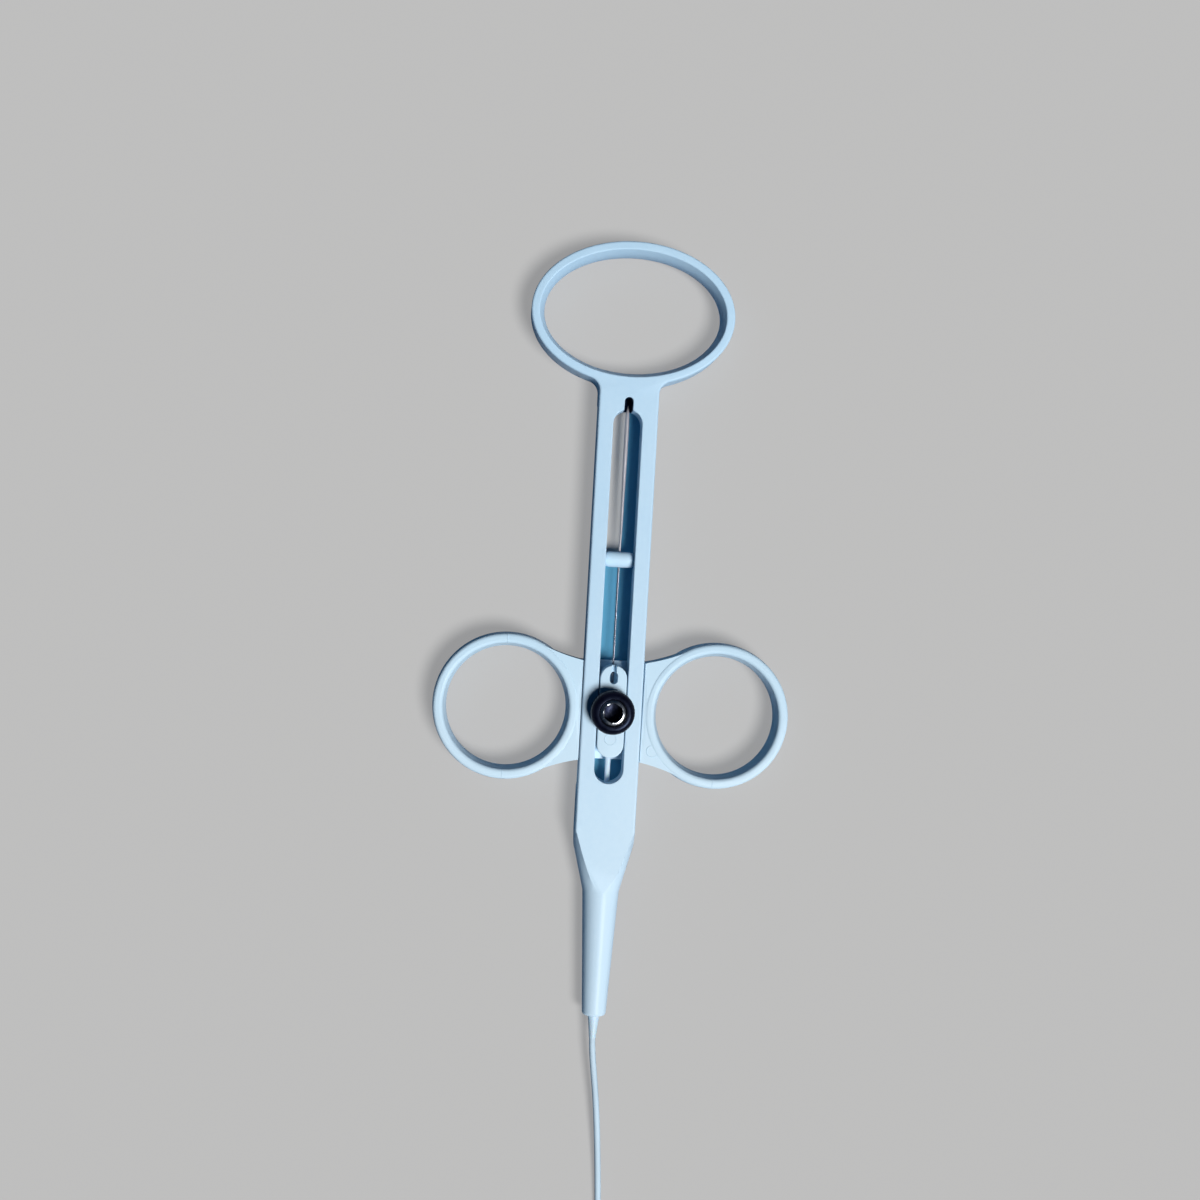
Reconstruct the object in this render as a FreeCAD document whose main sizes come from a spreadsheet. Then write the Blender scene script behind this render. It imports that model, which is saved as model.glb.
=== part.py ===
import FreeCAD, Part
import math
import os
from types import SimpleNamespace

import Sketcher

# Flexible biopsy forceps with a three-ring handle. All lengths are millimetres.
# The handle lies on its back: +Z is up through the front face, +Y runs to the thumb ring,
# X = 0 and Z = 0 are the handle's middle plane and the surface that it lies on.
# Finger spool, wire clamp and jaws are drawn with the jaws part open, which is the rest pose.

SHEET = (
    ("face_height", 7.0, "front face above the table"),
    ("rail_floor", 2.3, "underside of the thin rails"),
    ("frame_width", 11.4, "across the two rails"),
    ("slot_width", 5.5, "inside width between the rails"),
    ("slot_top", 41.9, "upper end of the slot"),
    ("slot_bottom", -29.1, "lower end of the slot"),
    ("notch_width", 1.6, "wire notch above the slot"),
    ("notch_top", 44.3, "upper end of the wire notch"),
    ("notch_floor", 2.6, "bottom of the wire notch"),
    ("recess_margin", 1.0, "rail recess past each end of the slot"),
    ("thumb_y", 60.2, "centre of the thumb ring"),
    ("thumb_half_width", 19.4, "thumb ring, outside, across"),
    ("thumb_half_height", 13.65, "thumb ring, outside, along"),
    ("thumb_band", 1.55, "thumb ring's band at the face"),
    ("thumb_crown", 0.95, "how far the inner wall bulges in"),
    ("neck_fillet", 2.5, "between the rails and the thumb ring"),
    ("edge_round", 0.45, "rounding of the moulding's outer edges"),
    ("shoulder_top", -41.4, "where the sides begin to narrow"),
    ("nose_root", -49.9, "where the nose begins"),
    ("nose_end", -73.85, "lower end of the handle"),
    ("nose_root_radius", 3.5, "nose at its root"),
    ("nose_end_radius", 2.3, "nose at its end"),
    ("nose_rounding", 0.6, "rounding of the nose's end"),
    ("wire_height", 3.5, "axis of the drive wire and nose"),
    ("wire_radius", 0.25, "drive wire"),
    ("wire_top", 42.8, "end of the wire's tail"),
    ("wire_bottom", -54.0, "lower end of the wire's stiff part"),
    ("tail_bore_radius", 0.55, "blind bore that takes the wire's tail"),
    ("tail_bore_top", 47.5, "end of that bore"),
    ("bar_y", 13.5, "centre of the guide bar"),
    ("bar_radius", 1.5, "guide bar"),
    ("bar_height", 4.0, "centre of the guide bar above the table"),
    ("bar_seat", 0.9, "how deep each end sits in its rail"),
    ("bar_bore_radius", 0.4, "wire hole through the guide bar"),
    ("cannula_radius", 0.525, "white tube over the wire"),
    ("cannula_bore_radius", 0.3, "its bore"),
    ("cannula_bottom", -50.0, "its lower end"),
    ("cannula_top", -19.0, "its upper end, inside the spool"),
    ("guide_radius", 1.1, "steel guide tube in the nose"),
    ("guide_bore_radius", 0.6, "its bore"),
    ("guide_top", -45.0, "upper end of the guide tube"),
    ("guide_bottom", -61.0, "lower end of the guide tube"),
    ("gland_gap", 0.5, "between guide tube and gland"),
    ("sheath_radius", 0.6, "coiled sheath"),
    ("relief_length", 4.5, "strain relief past the nose"),
    ("relief_root_radius", 1.15, "strain relief at the nose"),
    ("relief_end_radius", 0.72, "strain relief at its end"),
    ("spool_y", -15.4, "centre of the finger rings and clamp"),
    ("spool_half_length", 9.5, "half the length of the rear plate"),
    ("plate_thickness", 2.0, "rear plate of the spool"),
    ("plate_half_width", 7.4, "rear plate, reaching under the wings"),
    ("channel_gap", 0.12, "between the frame and each wing"),
    ("plate_step", 0.5, "the plate's wide part ends short of the spool's ends"),
    ("wing_drop", 0.35, "wings below the front face"),
    ("wing_hollow", 0.35, "how far a wing's end edge curves in"),
    ("wing_flat", 0.38, "from a wing's inner edge to where its end starts to slope"),
    ("ring_gap", 0.55, "between the frame and a finger ring"),
    ("ring_radius", 13.8, "finger ring, outside"),
    ("ring_band", 1.9, "finger ring's band"),
    ("ring_drop", 0.2, "finger rings below the front face"),
    ("ring_crown", 0.5, "how far the inner wall bulges in"),
    ("ring_bulge", 0.2, "how far the outer wall bulges out"),
    ("ring_round", 0.7, "rounding of the band's edges"),
    ("pad_width", 5.1, "stadium pad in the slot"),
    ("pad_half_length", 8.8, "half the length of the pad"),
    ("pad_proud", 0.3, "pad above the front face"),
    ("pad_round", 0.25, "rounding of the pad's rim"),
    ("window_y", -9.0, "centre of the window over the wire"),
    ("window_width", 1.5, "window across"),
    ("window_half_length", 1.15, "half the window's length"),
    ("window_floor", 3.5, "where the window meets the wire"),
    ("lead_width", 0.9, "lead-in groove from the pad's end"),
    ("lead_floor", 5.9, "bottom of the lead-in groove"),
    ("wire_room", 0.1, "radial room around the wire in the pad"),
    ("key_screw_x", 1.75, "joining screws beside the wire"),
    ("key_screw_upper", 4.3, "upper joining screw above the clamp's axis"),
    ("key_screw_lower", 6.6, "lower joining screw below the clamp's axis"),
    ("key_screw_radius", 0.5, "joining screws"),
    ("key_screw_head", 0.9, "radius of their heads"),
    ("key_screw_head_height", 0.6, "height of their heads"),
    ("key_screw_recess", 0.3, "heads below the spool's back"),
    ("key_screw_top", 5.4, "upper end of the joining screws"),
    ("sleeve_radius", 0.45, "crimped sleeve on the wire"),
    ("sleeve_half_length", 3.1, "half its length"),
    ("fit_room", 0.03, "radial clearance of a running fit"),
    ("thread_radius", 1.5, "clamp screw"),
    ("shoe_height", 0.55, "pressure shoe"),
    ("insert_radius", 2.1, "threaded insert"),
    ("insert_floor", 4.75, "bottom of the insert"),
    ("touch_gap", 0.05, "between faces that touch when clamped"),
    ("washer_radius", 3.7, "washer under the knob"),
    ("washer_height", 0.3, "washer under the knob"),
    ("core_radius", 2.6, "steel core in the knob"),
    ("hex_across_flats", 3.2, "hexagon socket"),
    ("hex_depth", 2.2, "hexagon socket"),
    ("core_chamfer", 0.35, "bright ring round the socket"),
    ("knob_radius", 4.15, "black knob"),
    ("knob_height", 3.4, "black knob"),
    ("knob_round", 1.1, "domed edge of the knob"),
    ("coil_x", -9.1, "centre of the put-away coil"),
    ("coil_y", -124.5, "centre of the put-away coil"),
    ("coil_outer_radius", 12.75, "outside of the put-away coil"),
    ("coil_inner_radius", 6.4, "inside of the put-away coil"),
    ("coil_height", 2.45, "two layers of sheath"),
    ("coil_round", 0.6, "rounding of the coil's edges"),
    ("tip_x", -34.9, "rivet of the jaws"),
    ("tip_y", -137.3, "rivet of the jaws"),
    ("tip_z", 0.8, "axis of the tip"),
    ("clevis_radius", 0.8, "clevis and ferrule"),
    ("clevis_back", 6.5, "rear end of the clevis, behind the rivet"),
    ("neck_radius", 0.62, "neck between the clevis and the ferrule"),
    ("neck_length", 0.6, "its length"),
    ("clevis_front", 0.6, "front end of the clevis"),
    ("fork_depth", 3.0, "bottom of the fork, behind the rivet"),
    ("fork_half_gap", 0.42, "half the fork's gap"),
    ("pull_bore_radius", 0.42, "bore for the pull rod"),
    ("ferrule_length", 3.2, "crimped ferrule"),
    ("rivet_radius", 0.2, "jaw rivet"),
    ("pin_radius", 0.17, "cross pin"),
    ("pin_rest", 1.32, "cross pin behind the rivet at rest"),
    ("jaw_rest_angle", 20.0, "each jaw's opening at rest, degrees"),
    ("jaw_rate", 4.75, "degrees that a jaw turns for each millimetre of the spool"),
    ("pull_ratio", 0.15, "travel at the tip for each millimetre of the spool"),
    ("spool_close", 4.2, "spool travel that closes the jaws"),
    ("spool_open", 3.8, "spool travel that opens them"),
    ("cup_radius", 0.78, "outside of a closed pair of cups"),
    ("cup_wall", 0.18, "wall of a cup"),
    ("cup_back", 1.0, "rear end of a cup, in front of the rivet"),
    ("cup_length", 3.4, "length of a cup"),
    ("cup_gap", 0.02, "from each rim to the parting plane"),
    ("tang_inner", 0.17, "a tang's inner face from the middle"),
    ("tang_outer", 0.38, "a tang's outer face from the middle"),
    ("tang_radius", 0.55, "tang round the rivet"),
    ("slot_room", 0.05, "room round the cross pin in its cam slot"),
    ("tongue_half", 0.13, "half the pull rod's tongue"),
    ("rod_radius", 0.37, "pull rod"),
    ("rod_setback", 1.0, "rear end of the pull rod, inside the clevis"),
    ("rod_stop", 0.4, "front end of its round part, behind the fork"),
    ("tongue_root", 0.6, "how far the tongue reaches back into the round part"),
    ("tongue_share", 1.8, "half the tongue's width, in radii of the cross pin"),
    ("cup_back_share", 0.8, "flat back of a cup, as a share of its radius"),
    ("cup_slope_share", 0.6, "slope behind the full section, as a share"),
    ("cup_nose_share", 1.05, "rounded front of a cup, as a share"),
)

# The sheath's route, point by point: out of the nose, down to the table and into the coil,
# and from the coil to the ferrule behind the jaws.
LEAD_ROUTE = (
    (0.0, -68.5, 3.5),
    (0.0, -80.5, 3.5),
    (0.95, -92.3, 2.75),
    (1.75, -104.0, 1.3),
    (2.6, -115.0, 0.6),
    (3.0, -124.5, 0.6),
)
TAIL_ROUTE = (
    (-9.1, -136.6, 1.8),
    (-14.8, -136.7, 1.7),
    (-20.6, -137.3, 0.8),
    (-26.3, -137.3, 0.8),
)

BEYOND = 1.0  # how far a cutting shape reaches past the metal
TANGENT_SHARE = 0.45  # share of the shorter run that an arc takes
QUARTER_BULGE = 1 - math.sqrt(0.5)  # how far a quarter arc of radius 1 stands off its chord

doc = FreeCAD.newDocument("biopsy_forceps")
sheet = doc.addObject("Spreadsheet::Sheet", "Sizes")
for row, (alias, value, note) in enumerate(SHEET, start=1):
    sheet.set(f"A{row}", alias)
    sheet.set(f"B{row}", str(value))
    sheet.set(f"C{row}", note)
    sheet.setAlias(f"B{row}", alias)
doc.recompute()


class Size:
    """A length known both as a number and as a spreadsheet expression."""

    def __init__(self, value, text):
        self.value = value
        self.text = text

    def __add__(self, other):
        other = as_size(other)
        return Size(self.value + other.value, f"({self.text} + {other.text})")

    def __sub__(self, other):
        other = as_size(other)
        return Size(self.value - other.value, f"({self.text} - {other.text})")

    def __mul__(self, other):
        other = as_size(other)
        return Size(self.value * other.value, f"({self.text} * {other.text})")

    def __truediv__(self, other):
        other = as_size(other)
        return Size(self.value / other.value, f"({self.text} / {other.text})")

    def __neg__(self):
        return Size(-self.value, f"(0 - {self.text})")

    def root(self):
        return Size(math.sqrt(self.value), f"sqrt({self.text})")


def as_size(number):
    """A Size as it is, and a plain number as a Size."""
    if isinstance(number, Size):
        return number
    return Size(float(number), f"({float(number):.9f})")


s = SimpleNamespace(**{alias: Size(value, f"Sizes.{alias}") for alias, value, note in SHEET})
ZERO = as_size(0)


def bind(thing, **properties):
    """Sets properties from sizes and ties them to the sheet."""
    for name, size in properties.items():
        size = as_size(size)
        setattr(thing, name, size.value)
        thing.setExpression(name, size.text)


def place(thing, x, y, z, rotation=None):
    """Puts a thing at a point that stays tied to the sheet."""
    x, y, z = as_size(x), as_size(y), as_size(z)
    spot = FreeCAD.Vector(x.value, y.value, z.value)
    thing.Placement = FreeCAD.Placement(spot, rotation or FreeCAD.Rotation())
    for axis, size in (("x", x), ("y", y), ("z", z)):
        thing.setExpression(f"Placement.Base.{axis}", size.text)


# Turns that lay a thing's own Z along the named axis.
ALONG = {
    "X": FreeCAD.Rotation(FreeCAD.Vector(0, 1, 0), 90),
    "Y": FreeCAD.Rotation(FreeCAD.Vector(1, 0, 0), -90),
    "Z": FreeCAD.Rotation(),
}


def box(name, low, high):
    """A block between two corners."""
    block = doc.addObject("Part::Box", name)
    low = [as_size(v) for v in low]
    high = [as_size(v) for v in high]
    bind(block, Length=high[0] - low[0], Width=high[1] - low[1], Height=high[2] - low[2])
    place(block, *low)
    return block


def rod(name, axis, start, radius, length):
    """A cylinder from a point along an axis."""
    cylinder = doc.addObject("Part::Cylinder", name)
    bind(cylinder, Radius=radius, Height=length)
    place(cylinder, *start, ALONG[axis])
    return cylinder


def cone(name, axis, start, radius, end_radius, length):
    """A truncated cone from a point along an axis."""
    shape = doc.addObject("Part::Cone", name)
    bind(shape, Radius1=radius, Radius2=end_radius, Height=length)
    place(shape, *start, ALONG[axis])
    return shape


def fuse(name, *pieces):
    """Several shapes as one."""
    joined = doc.addObject("Part::MultiFuse", name)
    joined.Shapes = list(pieces)
    joined.Refine = True
    return joined


def cut(name, base, *tools):
    """A shape less one or more others."""
    result = doc.addObject("Part::Cut", name)
    result.Base = base
    result.Tool = tools[0] if len(tools) == 1 else fuse(name + "_tools", *tools)
    return result


def tube(name, axis, start, radius, bore, length):
    """A round tube from a point along an axis."""
    outer = rod(name + "_outside", axis, start, radius, length)
    inner = rod(name + "_bore", axis, start, bore, length)
    return cut(name, outer, inner)


def stadium(name, width, y_low, y_high, z_low, z_high, x=ZERO):
    """An upright block with two half-round ends along Y."""
    half = width / 2
    height = as_size(z_high) - z_low
    middle = box(name + "_middle", (x - half, y_low + half, z_low), (x + half, y_high - half, z_high))
    lower = rod(name + "_lower_end", "Z", (x, y_low + half, z_low), half, height)
    upper = rod(name + "_upper_end", "Z", (x, y_high - half, z_low), half, height)
    return fuse(name, middle, lower, upper)


def edges_where(shape, test):
    """Numbers of a shape's edges that pass a test."""
    return [i for i, edge in enumerate(shape.Edges, start=1) if test(edge)]


def flat_at(edge, height):
    """Whether an edge lies wholly at one height."""
    bounds = edge.BoundBox
    return abs(bounds.ZMin - height) < 1e-4 and abs(bounds.ZMax - height) < 1e-4


def round_edges(name, base, radius, test):
    """Rounds the edges of a shape that pass a test."""
    doc.recompute()
    rounded = doc.addObject("Part::Fillet", name)
    rounded.Base = base
    rounded.Edges = [(i, radius.value, radius.value) for i in edges_where(base.Shape, test)]
    return rounded


def new_body(label):
    """An empty body with its own name."""
    return doc.addObject("PartDesign::Body", label)


def plane_of(body, role):
    """One of a body's own origin planes or axes."""
    return next(feature for feature in body.Origin.OriginFeatures if feature.Role == role)


def new_sketch(body, name, role, x=ZERO, y=ZERO, lift=ZERO):
    """A sketch on one of the body's origin planes, moved within it and lifted off it."""
    sketch = body.newObject("Sketcher::SketchObject", name)
    sketch.AttachmentSupport = [(plane_of(body, role), "")]
    sketch.MapMode = "FlatFace"
    for axis, size in (("x", x), ("y", y), ("z", lift)):
        sketch.setExpression(f"AttachmentOffset.Base.{axis}", as_size(size).text)
    return sketch


def end_at(sketch, segment, x, y):
    """Which end of a segment lies at a point: 1 for its start, 2 for its end."""
    spot = FreeCAD.Vector(x, y, 0)
    return min((1, 2), key=lambda end: (sketch.getPoint(segment, end) - spot).Length)


def hold(sketch, segment, end, x, y):
    """Ties one end of a segment to its place."""
    for kind, size in (("DistanceX", x), ("DistanceY", y)):
        constraint = Sketcher.Constraint(kind, -1, 1, segment, end, size.value)
        number = sketch.addConstraint(constraint)
        sketch.setExpression(f"Constraints[{number}]", size.text)


def hold_centre(sketch, arc, start, end, bulge):
    """Ties an arc's centre to its chord and bulge, along the axis that it can still move on."""
    run = end[0] - start[0]
    rise = end[1] - start[1]
    chord = (run * run + rise * rise).root()
    back = (chord * chord / 4 - bulge * bulge) / (bulge * 2)
    if abs(rise.value) >= abs(run.value):
        kind, place_at = "DistanceX", (start[0] + end[0]) / 2 - rise / chord * back
    else:
        kind, place_at = "DistanceY", (start[1] + end[1]) / 2 + run / chord * back
    number = sketch.addConstraint(Sketcher.Constraint(kind, -1, 1, arc, 3, place_at.value))
    sketch.setExpression(f"Constraints[{number}]", place_at.text)


def profile(sketch, points):
    """A closed outline, drawn anticlockwise.

    Each point is (x, y) or (x, y, bulge), and the bulge is how far the arc that arrives there
    stands out from its chord.
    """
    points = [tuple(as_size(v) for v in point) for point in points]
    segments = []
    for (x0, y0, *_), (x1, y1, *bulge) in zip(points, points[1:] + points[:1]):
        start = FreeCAD.Vector(x0.value, y0.value, 0)
        end = FreeCAD.Vector(x1.value, y1.value, 0)
        if not bulge:
            segments.append(sketch.addGeometry(Part.LineSegment(start, end)))
            continue
        along = end - start
        outward = FreeCAD.Vector(along.y, -along.x, 0).normalize()
        middle = (start + end) * 0.5 + outward * bulge[0].value
        arc = sketch.addGeometry(Part.Arc(start, middle, end))
        hold_centre(sketch, arc, (x0, y0), (x1, y1), bulge[0])
        segments.append(arc)
    for number, segment in enumerate(segments):
        x, y = points[number][:2]
        before = segments[number - 1]
        here = end_at(sketch, segment, x.value, y.value)
        there = end_at(sketch, before, x.value, y.value)
        sketch.addConstraint(Sketcher.Constraint("Coincident", segment, here, before, there))
        hold(sketch, segment, here, x, y)


def circle(sketch, x, y, radius):
    """A circle tied to its centre and radius."""
    x, y, radius = as_size(x), as_size(y), as_size(radius)
    centre = FreeCAD.Vector(x.value, y.value, 0)
    number = sketch.addGeometry(Part.Circle(centre, FreeCAD.Vector(0, 0, 1), radius.value))
    held = sketch.addConstraint(Sketcher.Constraint("Radius", number, radius.value))
    sketch.setExpression(f"Constraints[{held}]", radius.text)
    hold(sketch, number, 3, x, y)


def pad(body, name, sketch, length):
    """A sketch raised into a solid."""
    feature = body.newObject("PartDesign::Pad", name)
    feature.Profile = sketch
    bind(feature, Length=length)
    return feature


def pocket(body, name, sketch, length, upwards=False):
    """A sketch cut into the solid, downwards unless told otherwise."""
    feature = body.newObject("PartDesign::Pocket", name)
    feature.Profile = sketch
    feature.Reversed = upwards
    bind(feature, Length=length)
    return feature


def revolve(body, name, sketch, axis, kind="PartDesign::Revolution"):
    """A sketch turned a full circle about one of its own axes."""
    feature = body.newObject(kind, name)
    feature.Profile = sketch
    feature.ReferenceAxis = (sketch, [axis])
    feature.Angle = 360
    return feature


def ellipse_ring(name, half_width, half_height, z):
    """An ellipse round the thumb ring's centre."""
    curve = doc.addObject("Part::Ellipse", name)
    bind(curve, MajorRadius=half_width, MinorRadius=half_height)
    place(curve, 0, s.thumb_y, z)
    return curve


def make_frame_blank():
    """Rails, shoulder and nose before anything is cut out of them."""
    body = new_body("frame_blank")
    half = s.frame_width / 2
    sketch = new_sketch(body, "rail_outline", "XY_Plane")
    profile(sketch, [(-half, s.nose_root), (half, s.nose_root), (half, s.thumb_y), (-half, s.thumb_y)])
    pad(body, "rail_block", sketch, s.face_height)
    # The shoulder is a cone about the nose's axis; it leaves a pointed arch on the flat face.
    slope = (half - s.nose_root_radius) / (s.shoulder_top - s.nose_root)
    outer = half + s.face_height / 2
    top = s.nose_root + (outer - s.nose_root_radius) / slope
    sketch = new_sketch(body, "shoulder_outline", "XY_Plane", lift=s.wire_height)
    profile(sketch, [(s.nose_root_radius, s.nose_root), (outer, s.nose_root), (outer, top)])
    revolve(body, "shoulder_cone", sketch, "V_Axis", "PartDesign::Groove")
    sketch = new_sketch(body, "nose_outline", "XY_Plane", lift=s.wire_height)
    curl = s.nose_rounding
    profile(sketch, [
        (0, s.nose_end),
        (s.nose_end_radius - curl, s.nose_end),
        (s.nose_end_radius, s.nose_end + curl, curl * QUARTER_BULGE),
        (s.nose_root_radius, s.nose_root),
        (0, s.nose_root),
    ])
    revolve(body, "nose_cone", sketch, "V_Axis")
    return body


def make_handle_frame():
    """The handle's one moulding: thumb ring, rails, shoulder and nose."""
    half = s.frame_width / 2
    blank = make_frame_blank()
    outline = ellipse_ring("thumb_outline", s.thumb_half_width, s.thumb_half_height, 0)
    disc = doc.addObject("Part::Extrusion", "thumb_disc")
    disc.Base = outline
    disc.Dir = FreeCAD.Vector(0, 0, 1)
    disc.Solid = True
    bind(disc, LengthFwd=s.face_height)
    joined = fuse("frame_joined", blank, disc)
    face = s.face_height.value

    def neck(edge):
        """The two upright corners between the rails and the ring."""
        bounds = edge.BoundBox
        upright = bounds.ZLength > face - 0.01 and bounds.XLength < 0.01
        on_side = abs(abs(bounds.Center.x) - half.value) < 0.01
        below_ring = bounds.Center.y < s.thumb_y.value and bounds.Center.y > s.slot_top.value
        return upright and on_side and below_ring

    necked = round_edges("frame_necked", joined, s.neck_fillet, neck)
    rounded = round_edges(
        "frame_rounded", necked, s.edge_round,
        lambda edge: (flat_at(edge, 0) or flat_at(edge, face)) and edge.BoundBox.Center.y > s.slot_bottom.value,
    )
    # The thumb opening's wall is crowned: narrowest half-way up.
    wall = s.thumb_band
    rims = []
    for name, z, narrowing in (("low", ZERO, ZERO), ("middle", s.face_height / 2, s.thumb_crown),
                               ("high", s.face_height, ZERO)):
        across = s.thumb_half_width - wall - narrowing
        along = s.thumb_half_height - wall - narrowing
        rims.append(ellipse_ring(f"thumb_rim_{name}", across, along, z))
    opening = doc.addObject("Part::Loft", "thumb_opening")
    opening.Sections = rims
    opening.Solid = True
    opening.Ruled = False
    slot = stadium("slot", s.slot_width, s.slot_bottom, s.slot_top, ZERO, s.face_height)
    notch = stadium("notch", s.notch_width, s.slot_top - s.notch_width, s.notch_top, s.notch_floor,
                    s.face_height)
    recess = box("rail_recess", (-half, s.slot_bottom - s.recess_margin, 0),
                 (half, s.slot_top + s.recess_margin, s.rail_floor))
    reach = s.slot_width / 2 + s.bar_seat
    bar_bed = box("bar_bed", (-reach, s.bar_y - s.bar_radius, s.rail_floor),
                  (reach, s.bar_y + s.bar_radius, s.bar_height))
    bar_seat = rod("bar_seat_round", "X", (-reach, s.bar_y, s.bar_height), s.bar_radius, reach * 2)
    tail_bore = rod("tail_bore", "Y", (0, s.slot_top, s.wire_height), s.tail_bore_radius,
                    s.tail_bore_top - s.slot_top)
    nose_bore = rod("nose_bore", "Y", (0, s.nose_end, s.wire_height), s.guide_radius,
                    s.guide_top - s.nose_end)
    rod_bore = rod("cannula_bore", "Y", (0, s.guide_top, s.wire_height), s.guide_bore_radius,
                   s.slot_bottom - s.guide_top + s.slot_width / 2)
    return cut("handle_frame", rounded, opening, slot, notch, recess, bar_bed, bar_seat, tail_bore,
               nose_bore, rod_bore)


def make_guide_bar():
    """The bar across the slot that steadies the wire."""
    reach = s.slot_width / 2 + s.bar_seat
    bar = rod("bar_round", "X", (-reach, s.bar_y, s.bar_height), s.bar_radius, reach * 2)
    hole = rod("bar_hole", "Y", (0, s.bar_y - s.bar_radius, s.wire_height), s.bar_bore_radius,
               s.bar_radius * 2)
    return cut("wire_guide_bar", bar, hole)


def make_nose_pieces():
    """Guide tube, gland and strain relief on the nose's axis."""
    axis_at = s.wire_height
    tube("nose_guide_tube", "Y", (0, s.guide_bottom, axis_at), s.guide_radius, s.guide_bore_radius,
         s.guide_top - s.guide_bottom)
    tube("sheath_gland", "Y", (0, s.nose_end, axis_at), s.guide_radius, s.sheath_radius,
         s.guide_bottom - s.gland_gap - s.nose_end)
    start = (0, s.nose_end - s.relief_length, axis_at)
    outside = cone("relief_outside", "Y", start, s.relief_end_radius, s.relief_root_radius,
                   s.relief_length)
    inside = rod("relief_bore", "Y", start, s.sheath_radius, s.relief_length)
    cut("strain_relief", outside, inside)


def key_screw_spots():
    """Where the two joining screws stand: one on each side of the wire."""
    return ((s.key_screw_x, s.spool_y + s.key_screw_upper),
            (-s.key_screw_x, s.spool_y - s.key_screw_lower))


def make_finger_spool():
    """Rear plate, boss, two wings and two finger rings in one moulding."""
    body = new_body("finger_spool")
    low = s.spool_y - s.spool_half_length
    high = s.spool_y + s.spool_half_length
    wide = s.plate_half_width
    sketch = new_sketch(body, "plate_outline", "XY_Plane")
    near, far = low + s.plate_step, high - s.plate_step
    profile(sketch, [(-wide, near), (wide, near), (wide, far), (-wide, far)])
    pad(body, "rear_plate", sketch, s.plate_thickness)
    sketch = new_sketch(body, "bridge_outline", "XY_Plane")
    inner = s.frame_width / 2 + s.channel_gap
    corner = inner + s.wing_flat
    profile(sketch, [(-corner, low), (corner, low), (corner, high), (-corner, high)])
    pad(body, "bridge", sketch, s.plate_thickness)
    half = s.pad_width / 2
    bottom = s.spool_y - s.pad_half_length
    top = s.spool_y + s.pad_half_length
    sketch = new_sketch(body, "boss_outline", "XY_Plane")
    profile(sketch, [
        (-half, bottom + half),
        (half, bottom + half, half),
        (half, top - half),
        (-half, top - half, half),
    ])
    pad(body, "boss", sketch, s.wire_height)
    # The wing's sloping edge is the tangent from its corner to a circle just inside the ring's outer wall.
    ring_x = s.frame_width / 2 + s.ring_gap + s.ring_radius
    hug = s.ring_radius - s.ring_bulge
    run = ring_x - corner
    rise = s.spool_half_length
    span = run * run + rise * rise
    line = (span - hug * hug).root()
    touch_x = ring_x + (-(run * hug) + rise * line) * hug / span
    touch_y = (rise * hug + run * line) * hug / span
    sketch = new_sketch(body, "wing_outline", "XY_Plane", y=s.spool_y)
    profile(sketch, [
        (inner, -rise),
        (corner, -rise),
        (touch_x, -touch_y, -s.wing_hollow),
        (touch_x, touch_y),
        (corner, rise, -s.wing_hollow),
        (inner, rise),
    ])
    wing_height = s.face_height - s.wing_drop
    wing = pad(body, "wing", sketch, wing_height)
    sketch = new_sketch(body, "ring_clearing", "XY_Plane", lift=wing_height)
    circle(sketch, ring_x, s.spool_y, s.ring_radius - s.ring_band / 2)
    clearing = pocket(body, "ring_opening", sketch, wing_height)
    sketch = new_sketch(body, "ring_section", "XZ_Plane", x=ring_x, lift=-s.spool_y)
    inside = s.ring_radius - s.ring_band
    turn = s.ring_round
    tall = s.face_height - s.ring_drop
    profile(sketch, [
        (inside + turn, 0, turn * QUARTER_BULGE),
        (s.ring_radius - turn, 0),
        (s.ring_radius, turn, turn * QUARTER_BULGE),
        (s.ring_radius, tall - turn, s.ring_bulge),
        (s.ring_radius - turn, tall, turn * QUARTER_BULGE),
        (inside + turn, tall),
        (inside, tall - turn, turn * QUARTER_BULGE),
        (inside, turn, s.ring_crown),
    ])
    ring = revolve(body, "ring", sketch, "V_Axis")
    mirrored = body.newObject("PartDesign::Mirrored", "other_side")
    mirrored.Originals = [wing, clearing, ring]
    mirrored.MirrorPlane = (plane_of(body, "YZ_Plane"), [""])
    body.Tip = mirrored
    wire_way(body, ("boss_groove", bottom, top))
    sketch = new_sketch(body, "screw_heads", "XY_Plane")
    for x, y in key_screw_spots():
        circle(sketch, x, y, s.key_screw_head + s.touch_gap)
    pocket(body, "head_recesses", sketch, s.key_screw_recess + s.key_screw_head_height + s.touch_gap, True)
    sketch = new_sketch(body, "screw_holes", "XY_Plane")
    for x, y in key_screw_spots():
        circle(sketch, x, y, s.key_screw_radius)
    pocket(body, "screw_bores", sketch, s.wire_height, True)
    return body


def wire_way(body, spec):
    """The round way for cannula, sleeve and wire, half in the boss and half in the key plate."""
    name, bottom, top = spec
    wide = s.cannula_radius + s.fit_room
    narrow = s.wire_radius + s.wire_room
    step = s.spool_y + s.sleeve_half_length + s.wire_room
    sketch = new_sketch(body, name + "_outline", "XY_Plane", lift=s.wire_height)
    profile(sketch, [(0, bottom - s.pad_round), (wide, bottom - s.pad_round), (wide, step),
                     (narrow, step), (narrow, top + s.pad_round), (0, top + s.pad_round)])
    return revolve(body, name, sketch, "V_Axis", "PartDesign::Groove")


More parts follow.
